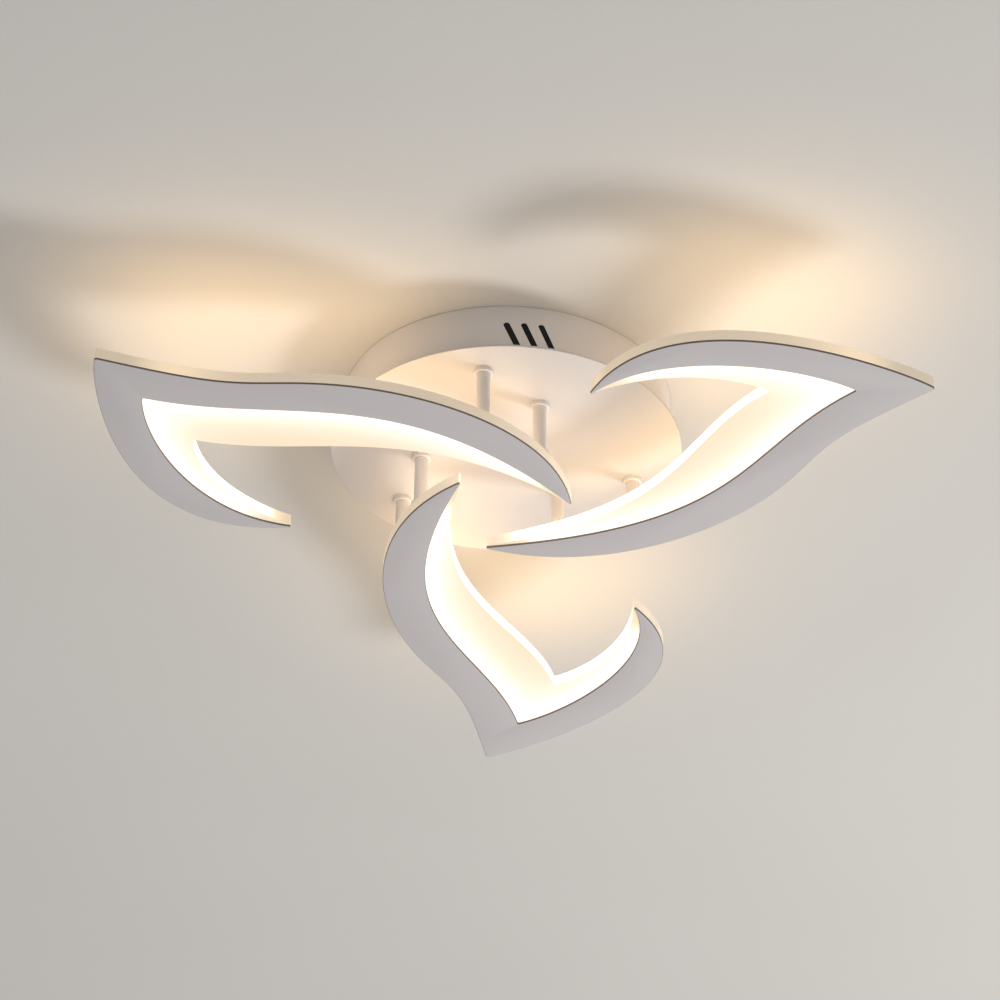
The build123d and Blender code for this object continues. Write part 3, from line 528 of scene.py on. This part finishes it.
def slice_by_grid(mesh, low, high):
    """Cuts a mesh by upright planes along both directions, and leaves no slivers."""
    for axis in (0, 1):
        normal = Vector((axis == 0, axis == 1, 0))
        for step in range(1, int((high[axis] - low[axis]) / GRID) + 1):
            plane = dict(plane_co=normal * (low[axis] + step * GRID), plane_no=normal)
            everything = mesh.verts[:] + mesh.edges[:] + mesh.faces[:]
            bmesh.ops.bisect_plane(mesh, geom=everything, dist=ON_CUT, **plane)
    bmesh.ops.remove_doubles(mesh, verts=mesh.verts, dist=SLIVER)
    bmesh.ops.triangulate(mesh, faces=[face for face in mesh.faces if len(face.verts) > 4])


# %% Store the light in a slab
FLAT = 0.01 * MM  # two corners this near in height are level


def store_light(mesh, chips, facings):
    """Stores the light of every face corner, and marks the rim, its edges and the ceiling side."""
    starts = np.array([face.loop_start for face in mesh.polygons])
    counts = np.array([face.loop_total for face in mesh.polygons])
    corner_vertex = np.array([loop.vertex_index for loop in mesh.loops])
    points = np.array([vertex.co for vertex in mesh.vertices])[corner_vertex]
    heights = np.maximum.reduceat(points[:, 2], starts) - np.minimum.reduceat(points[:, 2], starts)
    middle = (points[:, 2].max() + points[:, 2].min()) / 2
    level = heights < FLAT
    normals = np.array([face.normal for face in mesh.polygons])
    normals[level] = [[0, 0, 1 if points[start, 2] > middle else -1] for start in starts[level]]
    normals[~level, 2] = 0
    light = light_at(points, np.repeat(normals, counts, axis=0), chips, facings)
    marks = {"glow": light, "rim": np.repeat(~level, counts),
             "ceiling_side": np.repeat(normals[:, 2] > STEEP, counts)}
    for name, values in marks.items():
        layer = mesh.attributes.new(name, "FLOAT", "CORNER")
        layer.data.foreach_set("value", values.astype(np.float32))
    corner_edge = np.array([loop.edge_index for loop in mesh.loops])
    level_sides = np.bincount(corner_edge, weights=np.repeat(level, counts))
    for edge in np.nonzero(level_sides == 1)[0]:
        mesh.edges[int(edge)].use_edge_sharp = True
    print("  glow from", round(float(light.min()), 2), "to", round(float(light.max()), 2))


# %% Make the three slabs
for number in PETALS:
    slab_name = f"diffuser_{number}"
    slab_mesh = merged_copy(nodes[slab_name])
    slice_by_grid(slab_mesh, *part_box(slab_name))
    slab = finished_piece(slab_mesh, f"glowing_{slab_name}", finishes["opal_acrylic"], "lamp",
                          [slab_name])
    store_light(slab.data, *chips_of(number))

# %% [markdown]
# ## Pressed edges of the face plates
# A press rolls the edge of a sheet over a little on the side where the punch goes in. On these plates
# that is the visible side. A real small rounding catches the light correctly from every side, so the rim
# of a merged copy is bevelled. The rolled faces and the cut side below them also get a mark, and the
# paint draws them dark brown there as painted shade.

# %% Roll the edges over
ROLL_OVER = 0.45 * MM


def roll_edges(mesh, bottom):
    """Rounds the lower edges of a plate and marks its sides, which the paint draws dark as painted
    shade.
    """
    mark = mesh.faces.layers.float.new("painted_shade_edge")
    rim = [edge for edge in mesh.edges
           if all(abs(end.co.z - bottom) < FLAT for end in edge.verts)
           and any(abs(face.normal.z) < STEEP for face in edge.link_faces)]
    bmesh.ops.bevel(mesh, geom=rim, offset=ROLL_OVER, segments=3, profile=0.5,
                    clamp_overlap=True, affect="EDGES")
    for face in mesh.faces:
        heights = [corner.co.z for corner in face.verts]
        face[mark] = 1.0 if max(heights) - min(heights) > FLAT else 0.0


# %% Make the three plates
for number in PETALS:
    plate_name = f"face_plate_{number}"
    plate_mesh = merged_copy(nodes[plate_name])
    roll_edges(plate_mesh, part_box(plate_name)[0].z)
    finished_piece(plate_mesh, f"pressed_{plate_name}", plate_finish, "lamp",
                   [plate_name])

# %% [markdown]
# ## Threads, knurls and weld marks
# Screws, nipples and weld marks repeat by rule, so node trees make them. A thread is a small diamond
# profile that is swept along a helix round a core. Each tree has a named input for every size, in
# metres, and for every place where a part of it sits. It is run once to give a plain mesh.

# %% Build a node tree
def new_tree(name, sizes):
    """A geometry tree with one named input for each size, and a vector one for each place."""
    tree = bpy.data.node_groups.new(name, "GeometryNodeTree")
    tree.interface.new_socket("Geometry", in_out="INPUT", socket_type="NodeSocketGeometry")
    tree.interface.new_socket("Geometry", in_out="OUTPUT", socket_type="NodeSocketGeometry")
    for label, size in sizes.items():
        kind = "NodeSocketVector" if isinstance(size, tuple) else "NodeSocketFloat"
        tree.interface.new_socket(label, in_out="INPUT", socket_type=kind)
    return tree, add_node(tree, "NodeGroupInput").outputs


def join_parts(tree, parts):
    """Moves each part to its place and joins them all."""
    joined = add_node(tree, "GeometryNodeJoinGeometry")
    for part, place in parts:
        moved = add_node(tree, "GeometryNodeTransform", {"Geometry": part, "Translation": place})
        tree.links.new(moved.outputs["Geometry"], joined.inputs["Geometry"])
    return joined.outputs["Geometry"]


def finish_tree(tree, geometry, material):
    """Ends a tree with real geometry and its material."""
    real = add_node(tree, "GeometryNodeRealizeInstances", {"Geometry": geometry})
    painted = {"Geometry": real.outputs["Geometry"], "Material": material}
    painted = add_node(tree, "GeometryNodeSetMaterial", painted)
    add_node(tree, "NodeGroupOutput", {"Geometry": painted.outputs["Geometry"]})


# %% Run a node tree
def run_tree(tree, sizes, points):
    """Runs a tree on a few points and returns the mesh that it makes."""
    seed = bpy.data.meshes.new("seed")
    seed.from_pydata([tuple(point) for point in points], [], [])
    carrier = bpy.data.objects.new("seed", seed)
    bpy.context.scene.collection.objects.link(carrier)
    modifier = carrier.modifiers.new("tree", "NODES")
    modifier.node_group = tree
    for socket in tree.interface.items_tree:
        if socket.name in sizes and socket.in_out == "INPUT":
            modifier[socket.identifier] = sizes[socket.name]
    ready = carrier.evaluated_get(bpy.context.evaluated_depsgraph_get())
    mesh = bpy.data.meshes.new_from_object(ready)
    carrier.modifiers.clear()
    bpy.data.objects.remove(carrier)
    print(tree.name, len(mesh.polygons), "faces, size in mm",
          [round(size / MM, 2) for size in np.ptp([vertex.co for vertex in mesh.vertices], axis=0)])
    return mesh


# %% A thread along Z
RIDGE_SHARE = 0.52  # of the pitch: just over half, so that the turns meet
STEPS_A_TURN = 20
DIAMOND = 4  # a circle with this many corners is the thread's profile


def thread_sizes(diameter, pitch, length):
    """The sizes of a thread: its ridge, and the core that the ridge winds round."""
    ridge = RIDGE_SHARE * pitch
    return {"Ridge radius": ridge, "Core radius": diameter / 2 - ridge,
            "Thread length": length, "Turns": length / pitch}


def thread(tree, size):
    """A helix ridge that starts at z = 0 and goes up."""
    helix = add_node(tree, "GeometryNodeCurveSpiral", {
        "Resolution": STEPS_A_TURN, "Rotations": size["Turns"], "Height": size["Thread length"],
        "Start Radius": size["Core radius"], "End Radius": size["Core radius"]})
    profile = add_node(tree, "GeometryNodeCurvePrimitiveCircle",
                       {"Resolution": DIAMOND, "Radius": size["Ridge radius"]})
    swept = {"Curve": helix.outputs["Curve"], "Profile Curve": profile.outputs["Curve"],
             "Fill Caps": True}
    return add_node(tree, "GeometryNodeCurveToMesh", swept).outputs["Mesh"]


# %% [markdown]
# ### Side screws
# Two knurled thumb screws hold the canopy on its bracket. The head is a cylinder whose outline goes in
# and out 24 times for the fingers, with softened ends and a slot for a coin. A cosine of the angle
# round the axis gives the grooves, and each point of the head moves inwards by whichever is more, its
# groove or its softened end. The shank has an M4 thread.

# %% Sizes of a side screw
KNURLS = 24
HEAD_LENGTH, HEAD_RADIUS, SOFTENED_END = 5.0 * MM, 4.7 * MM, 0.5 * MM
SLOT_WIDTH, SLOT_DEPTH = 1.2 * MM, 1.6 * MM
SLOT_REACH = 2.4 * HEAD_RADIUS  # past both sides of the head
SHANK_LENGTH, SHANK_DIAMETER, SCREW_PITCH = 10.0 * MM, 4.0 * MM, 0.7 * MM
SCREW = {
    "Head radius": HEAD_RADIUS,
    "Head length": HEAD_LENGTH,
    "Head place": (0.0, 0.0, HEAD_LENGTH / 2),
    "Knurl depth": 0.35 * MM,
    "Softened from": HEAD_LENGTH / 2 - SOFTENED_END,  # measured from the head's middle
    "Slot size": (SLOT_WIDTH, SLOT_REACH, 2 * SLOT_DEPTH),  # its middle is on the head's end
    "Shank length": SHANK_LENGTH,
    "Shank place": (0.0, 0.0, -SHANK_LENGTH / 2),
    "Thread place": (0.0, 0.0, RIDGE_SHARE * SCREW_PITCH - SHANK_LENGTH),
    **thread_sizes(SHANK_DIAMETER, SCREW_PITCH, SHANK_LENGTH - SCREW_PITCH),
}

# %% The knurls of a side screw
CORNERS_A_KNURL, HEAD_RINGS = 8, 10  # enough for a smooth groove and a softened end
screw_tree, size = new_tree("knurled screw", SCREW)
blank = add_node(screw_tree, "GeometryNodeMeshCylinder", {
    "Vertices": CORNERS_A_KNURL * KNURLS, "Side Segments": HEAD_RINGS,
    "Radius": size["Head radius"], "Depth": size["Head length"]})
position = add_node(screw_tree, "GeometryNodeInputPosition").outputs["Position"]
place = add_node(screw_tree, "ShaderNodeSeparateXYZ", {"Vector": position}).outputs
groove = add_node(screw_tree, "ShaderNodeMath", {0: place["Y"], 1: place["X"]},
                  operation="ARCTAN2").outputs[0]
for operation, number in (("MULTIPLY", KNURLS), ("COSINE", 0.0), ("MULTIPLY", -0.5), ("ADD", 0.5),
                          ("MULTIPLY", size["Knurl depth"])):
    groove = add_node(screw_tree, "ShaderNodeMath", {0: groove, 1: number},
                      operation=operation).outputs[0]
inward = place["Z"]
for operation, number in (("ABSOLUTE", 0.0), ("SUBTRACT", size["Softened from"]), ("MAXIMUM", groove),
                          ("DIVIDE", size["Head radius"]), ("MULTIPLY", -1.0)):
    inward = add_node(screw_tree, "ShaderNodeMath", {0: inward, 1: number},
                      operation=operation).outputs[0]
outline = add_node(screw_tree, "ShaderNodeCombineXYZ", {"X": place["X"], "Y": place["Y"]})
push = add_node(screw_tree, "ShaderNodeVectorMath",
                {0: outline.outputs["Vector"], "Scale": inward}, operation="SCALE")
head = add_node(screw_tree, "GeometryNodeSetPosition", {
    "Geometry": blank.outputs["Mesh"], "Offset": push.outputs["Vector"]}).outputs["Geometry"]

# %% The slot, the core and the thread of a side screw
CORE_CORNERS = 32
cutter = add_node(screw_tree, "GeometryNodeMeshCube", {"Size": size["Slot size"]}).outputs["Mesh"]
cutter = add_node(screw_tree, "GeometryNodeTransform",
                  {"Geometry": cutter, "Translation": size["Head place"]}).outputs["Geometry"]
slotted = add_node(screw_tree, "GeometryNodeMeshBoolean", {"Mesh 1": head, "Mesh 2": cutter},
                   operation="DIFFERENCE").outputs["Mesh"]
core = add_node(screw_tree, "GeometryNodeMeshCylinder", {
    "Vertices": CORE_CORNERS, "Radius": size["Core radius"],
    "Depth": size["Shank length"]}).outputs["Mesh"]
screw = join_parts(screw_tree, ((slotted, size["Head place"]), (core, size["Shank place"]),
                                (thread(screw_tree, size), size["Thread place"])))
finish_tree(screw_tree, screw, finishes["screw_nickel"])

# %% Place the two side screws
screw_mesh = run_tree(screw_tree, SCREW, [(0, 0, 0)])
for side, sign in (("right", 1), ("left", -1)):
    low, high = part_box(f"side_screw_{side}")
    face_x = high.x if sign > 0 else low.x
    seat = Vector((face_x - sign * HEAD_LENGTH, (low.y + high.y) / 2, (low.z + high.z) / 2))
    turned = screw_mesh.copy()
    turned.transform(Matrix.Translation(seat) @ Matrix.Rotation(sign * math.pi / 2, 4, "Y"))
    add_piece(turned, f"knurled_side_screw_{side}", finishes["screw_nickel"], f"{side}_screw",
              [f"side_screw_{side}"])

# %% [markdown]
# ### Nipples
# Each post is clamped by a hollow rod with an M6 thread. Only its upper end shows, above the nut inside
# the canopy, and that is where the thread is drawn. The tree puts one rod on every point that it is
# given, and the points are the middles of the six packed nipples. Each part of the rod is a tube, a
# rectangle swept round a ring, because a rod that was only a cylinder would close the cable's way.

# %% Measure the nipples
def largest_parts(node_name, count):
    """Middles and corners of a node's separate solids, largest first."""
    parts = [np.array(part) for part in loose_parts(nodes[node_name])]
    parts.sort(key=lambda part: -np.ptp(part, axis=0).sum())
    return [(part.min(axis=0) + part.max(axis=0)) / 2 for part in parts[:count]], parts[:count]


POSTS = 6
nipple_spots, nipple_corners = largest_parts("post_nipples", POSTS)
from_axis = np.linalg.norm((nipple_corners[0] - nipple_spots[0])[:, :2], axis=1)
bore_radius, outer_radius = float(from_axis.min()), float(from_axis.max())
nipple_length = float(np.ptp(nipple_corners[0][:, 2]))
print("nipples", len(nipple_spots), "outer, bore and length in mm",
      [round(size / MM, 2) for size in (2 * outer_radius, 2 * bore_radius, nipple_length)])

# %% Sizes of a nipple
THREADED_LENGTH, NIPPLE_PITCH = 8.0 * MM, 0.75 * MM


def tube_sizes(label, outer, length, height):
    """The sizes of a tube round the nipple's bore, and the height of its middle."""
    return {f"{label} ring radius": (outer + bore_radius) / 2, f"{label} wall": outer - bore_radius,
            f"{label} length": length, f"{label} place": (0.0, 0.0, height)}


NIPPLE = thread_sizes(2 * outer_radius, NIPPLE_PITCH, THREADED_LENGTH)
cored_length = THREADED_LENGTH + NIPPLE_PITCH
plain_length = nipple_length - cored_length
NIPPLE.update(tube_sizes("Plain part", outer_radius, plain_length, -cored_length / 2))
NIPPLE.update(tube_sizes("Cored part", NIPPLE["Core radius"], cored_length, plain_length / 2))
NIPPLE["Thread place"] = (0.0, 0.0, nipple_length / 2 - THREADED_LENGTH - NIPPLE_PITCH / 2)

# %% The tree of the nipples
TUBE_CORNERS = 40
nipple_tree, size = new_tree("threaded nipple", NIPPLE)
nipple_parts = [(thread(nipple_tree, size), size["Thread place"])]
for label in ("Plain part", "Cored part"):
    ring = add_node(nipple_tree, "GeometryNodeCurvePrimitiveCircle",
                    {"Resolution": TUBE_CORNERS, "Radius": size[f"{label} ring radius"]})
    wall = add_node(nipple_tree, "GeometryNodeCurvePrimitiveQuadrilateral",
                    {"Width": size[f"{label} wall"], "Height": size[f"{label} length"]})
    swept = {"Curve": ring.outputs["Curve"], "Profile Curve": wall.outputs["Curve"]}
    tube = add_node(nipple_tree, "GeometryNodeCurveToMesh", swept).outputs["Mesh"]
    nipple_parts.append((tube, size[f"{label} place"]))
spots = add_node(nipple_tree, "GeometryNodeMeshToPoints", {"Mesh": size["Geometry"]})
placed = add_node(nipple_tree, "GeometryNodeInstanceOnPoints",
                  {"Points": spots.outputs["Points"], "Instance": join_parts(nipple_tree, nipple_parts)})
finish_tree(nipple_tree, placed.outputs["Instances"], finishes["nipple_steel"])
add_piece(run_tree(nipple_tree, NIPPLE, nipple_spots), "threaded_nipples", finishes["nipple_steel"],
          "lamp", ["post_nipples"])

# %% [markdown]
# ### Weld marks
# The drum's flange is joined to the round plate by spot welds. Each leaves a shallow round mark with a
# slightly raised rim under the paint. They sit evenly round the flange and show from above. One bead
# is drawn, and a circle with as many corners as there are welds puts a copy on each corner.

# %% Weld marks
FLANGE = 1.0 * MM  # the drum's flange lies on the round plate
MARK_CORNERS, BEAD_CORNERS = 28, 8
WELDS = {
    "Mark radius": 2.25 * MM,
    "Bead radius": 0.12 * MM,
    "Count": 16.0,
    "Ring radius": 98.2 * MM,  # on the flange, clear of the drum's wall
    "Flange place": (0.0, 0.0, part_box("canopy_disc")[1].z + FLANGE),
}
weld_tree, size = new_tree("spot weld marks", WELDS)
path = add_node(weld_tree, "GeometryNodeCurvePrimitiveCircle",
                {"Resolution": size["Count"], "Radius": size["Ring radius"]})
ring = add_node(weld_tree, "GeometryNodeCurvePrimitiveCircle",
                {"Resolution": MARK_CORNERS, "Radius": size["Mark radius"]})
bead = add_node(weld_tree, "GeometryNodeCurvePrimitiveCircle",
                {"Resolution": BEAD_CORNERS, "Radius": size["Bead radius"]})
mark = add_node(weld_tree, "GeometryNodeCurveToMesh",
                {"Curve": ring.outputs["Curve"], "Profile Curve": bead.outputs["Curve"]})
placed = add_node(weld_tree, "GeometryNodeInstanceOnPoints",
                  {"Points": path.outputs["Curve"], "Instance": mark.outputs["Mesh"]})
marks = join_parts(weld_tree, ((placed.outputs["Instances"], size["Flange place"]),))
finish_tree(weld_tree, marks, finishes["white_paint"])
add_piece(run_tree(weld_tree, WELDS, [(0, 0, 0)]), "spot_weld_marks", finishes["white_paint"],
          "lamp")

# %% [markdown]
# ## The room
# The only thing behind the lamp is a matt white ceiling with the fine texture of a paint roller. It is
# one-sided: from above it is clear, so the lamp's upper side and the inside of its canopy can be
# looked at. Inside the canopy the ceiling is a separate round of dark shade, which hides nothing from
# above and lets the light in there.

# %% A flat round for the stage, and a one-sided finish
CEILING_LIFT = 0.2 * MM  # clear of the bracket's upper face
RIM_POINTS = 96


def stage_disc(name, inner, outer, material):
    """A flat ring, or a disc where inner is 0, that faces down at the ceiling."""
    angles = [2 * math.pi * step / RIM_POINTS for step in range(RIM_POINTS)]
    points = [(outer * math.cos(a), outer * math.sin(a), CEILING_LIFT) for a in angles]
    faces = [tuple(reversed(range(RIM_POINTS)))]
    if inner:
        points += [(inner * math.cos(a), inner * math.sin(a), CEILING_LIFT) for a in angles]
        pairs = [(step, (step + 1) % RIM_POINTS) for step in range(RIM_POINTS)]
        faces = [(one, one + RIM_POINTS, two + RIM_POINTS, two) for one, two in pairs]
    mesh = bpy.data.meshes.new(name)
    mesh.from_pydata(points, [], faces)
    mesh.materials.append(material)
    disc = bpy.data.objects.new(name, mesh)
    bpy.context.scene.collection.objects.link(disc)
    print(name, "faces down:", mesh.polygons[0].normal.z < 0)


def one_sided(tree, shader, see_through):
    """Shows a shader only where see_through is 0."""
    clear = add_node(tree, "ShaderNodeBsdfTransparent")
    output = next(node for node in tree.nodes if node.type == "OUTPUT_MATERIAL")
    sides = {0: see_through, 1: shader.outputs["BSDF"], 2: clear.outputs["BSDF"]}
    side = add_node(tree, "ShaderNodeMixShader", sides)
    tree.links.new(side.outputs["Shader"], output.inputs["Surface"])


# %% Ceiling
CEILING_RADIUS = 5.0
INSIDE_DRUM = 1.5 * MM  # from the drum's outer face to just inside its wall
hidden_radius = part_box("canopy_drum")[1].x - INSIDE_DRUM
ceiling, tree, shader, where = new_finish("rolled ceiling paint", {"Roughness": 0.8})
place = where.outputs["Object"]
set_inputs(tree, shader, {"Base Color": clouds(tree, place, 260, "#D1CCC4", "#CBC6BE")})
bumpy_skin(tree, shader, place, 5.0, 0.12, detail=5.0)
behind = add_node(tree, "ShaderNodeNewGeometry").outputs["Backfacing"]
one_sided(tree, shader, behind)
stage_disc("ceiling", hidden_radius, CEILING_RADIUS, ceiling)

# %% Shade inside the canopy
dark = {"Roughness": 0.9, "Base Color": linear("#0B0A0A")}
shade, tree, shader, where = new_finish("shade inside the canopy", dark)
behind = add_node(tree, "ShaderNodeNewGeometry").outputs["Backfacing"]
seen = add_node(tree, "ShaderNodeLightPath").outputs["Is Camera Ray"]
unseen = add_node(tree, "ShaderNodeMath", {0: 1.0, 1: seen}, operation="SUBTRACT")
clear = add_node(tree, "ShaderNodeMath", {0: unseen.outputs[0], 1: behind}, operation="MAXIMUM")
one_sided(tree, shader, clear.outputs[0])
stage_disc("ceiling_inside_canopy", 0, hidden_radius, shade)

# %% [markdown]
# ## Light
# The room's light is soft: the world is brighter below, where a pale floor would throw daylight up,
# than towards the sides. Its light from above is stopped by the ceiling and only comes in at the open
# round inside the canopy, where it shows the driver and the leads. One wide lamp, low on the right and
# a little behind, makes the right side of the ceiling brighter and throws the petals' soft shadows up
# and to the left. The warm light on the ceiling and the canopy comes from the acrylic itself.

# %% World
WORLD_BELOW, WORLD_SIDE, WORLD_ABOVE = 0.66, 0.34, 1.2  # strengths of the light from there
BACKDROP = "#E6E3DE"
world = bpy.data.worlds.new("soft room")
bpy.context.scene.world = world
world.use_nodes = True
tree = world.node_tree
tree.nodes.clear()
direction = add_node(tree, "ShaderNodeTexCoord").outputs["Generated"]
height = add_node(tree, "ShaderNodeSeparateXYZ", {"Vector": direction}).outputs["Z"]
below = add_node(tree, "ShaderNodeMapRange", {
    "Value": height, "From Min": -1.0, "From Max": 0.0,
    "To Min": WORLD_BELOW, "To Max": WORLD_SIDE})
above = add_node(tree, "ShaderNodeMapRange", {
    "Value": height, "From Min": 0.0, "From Max": 1.0,
    "To Min": 0.0, "To Max": WORLD_ABOVE - WORLD_SIDE})
strength = add_node(tree, "ShaderNodeMath",
                    {0: below.outputs["Result"], 1: above.outputs["Result"]}, operation="ADD")
room = add_node(tree, "ShaderNodeBackground",
                {"Color": linear("#F9FBFF"), "Strength": strength.outputs[0]})
backdrop = add_node(tree, "ShaderNodeBackground", {"Color": linear(BACKDROP), "Strength": 1.0})
path = add_node(tree, "ShaderNodeLightPath")
seen = path.outputs["Is Camera Ray"]
for ray in ("Is Glossy Ray", "Is Transmission Ray"):
    seen = add_node(tree, "ShaderNodeMath", {0: seen, 1: path.outputs[ray]},
                    operation="MAXIMUM").outputs[0]
view = add_node(tree, "ShaderNodeMixShader", {0: seen, 1: room.outputs[0], 2: backdrop.outputs[0]})
add_node(tree, "ShaderNodeOutputWorld", {"Surface": view.outputs[0]})

# %% Key lamp
KEY_DIRECTION = Vector((0.68, 0.22, -0.70))  # from the lamp towards the key light
KEY_DISTANCE, KEY_SIZE, KEY_POWER = 2.2, 0.60, 23
key = bpy.data.lights.new("key", "AREA")
key.shape, key.size, key.energy = "DISK", KEY_SIZE, KEY_POWER
key.color = linear("#FCFDFF")[:3]
key_lamp = bpy.data.objects.new("key", key)
key_lamp.location = KEY_DIRECTION.normalized() * KEY_DISTANCE
key_lamp.rotation_euler = KEY_DIRECTION.to_track_quat("Z", "Y").to_euler()
bpy.context.scene.collection.objects.link(key_lamp)
print("key lamp at", [round(v, 2) for v in key_lamp.location])

# %% [markdown]
# ## Camera
# The photograph looks up at the lamp from the side of the first vents, through a long lens and from
# nearly three metres away. The angles below were found from the petals' threefold symmetry and from the
# ellipses of the canopy. Three heights on the lamp's axis are projected into a square picture, and the
# pixels where they come are printed.

# %% Camera
AIM = Vector((1.5, 38.3, -46.6)) * MM
CAMERA_DISTANCE = 2.92
LOOK_UP = math.radians(34.906)
LOOK_RIGHT = math.radians(7.398)
ROLL = math.radians(0.893)
LENS_MM, SENSOR_MM, PICTURE = 166.3, 36.0, 1000
forward = Vector((math.sin(LOOK_RIGHT) * math.cos(LOOK_UP),
                  math.cos(LOOK_RIGHT) * math.cos(LOOK_UP), math.sin(LOOK_UP)))
camera_data = bpy.data.cameras.new("camera")
camera_data.lens, camera_data.sensor_width = LENS_MM, SENSOR_MM
camera = bpy.data.objects.new("camera", camera_data)
turn = forward.to_track_quat("-Z", "Y").to_matrix() @ Matrix.Rotation(ROLL, 3, "Z")
camera.matrix_world = Matrix.Translation(AIM - forward * CAMERA_DISTANCE) @ turn.to_4x4()
bpy.context.scene.collection.objects.link(camera)
bpy.context.scene.camera = camera
bpy.context.scene.view_settings.view_transform = "Standard"

# %% Where the lamp's axis comes in the picture
HEIGHTS = {"canopy on ceiling": 0.0, "canopy disc": -36.0, "petals": -82.5}  # in mm
for label, height in HEIGHTS.items():
    seen = camera.matrix_world.inverted() @ Vector((0, 0, height * MM))
    pixels = LENS_MM / SENSOR_MM * PICTURE / -seen.z
    across, down = PICTURE / 2 + seen.x * pixels, PICTURE / 2 - seen.y * pixels
    print(label, "at pixel", round(across, 1), round(down, 1))
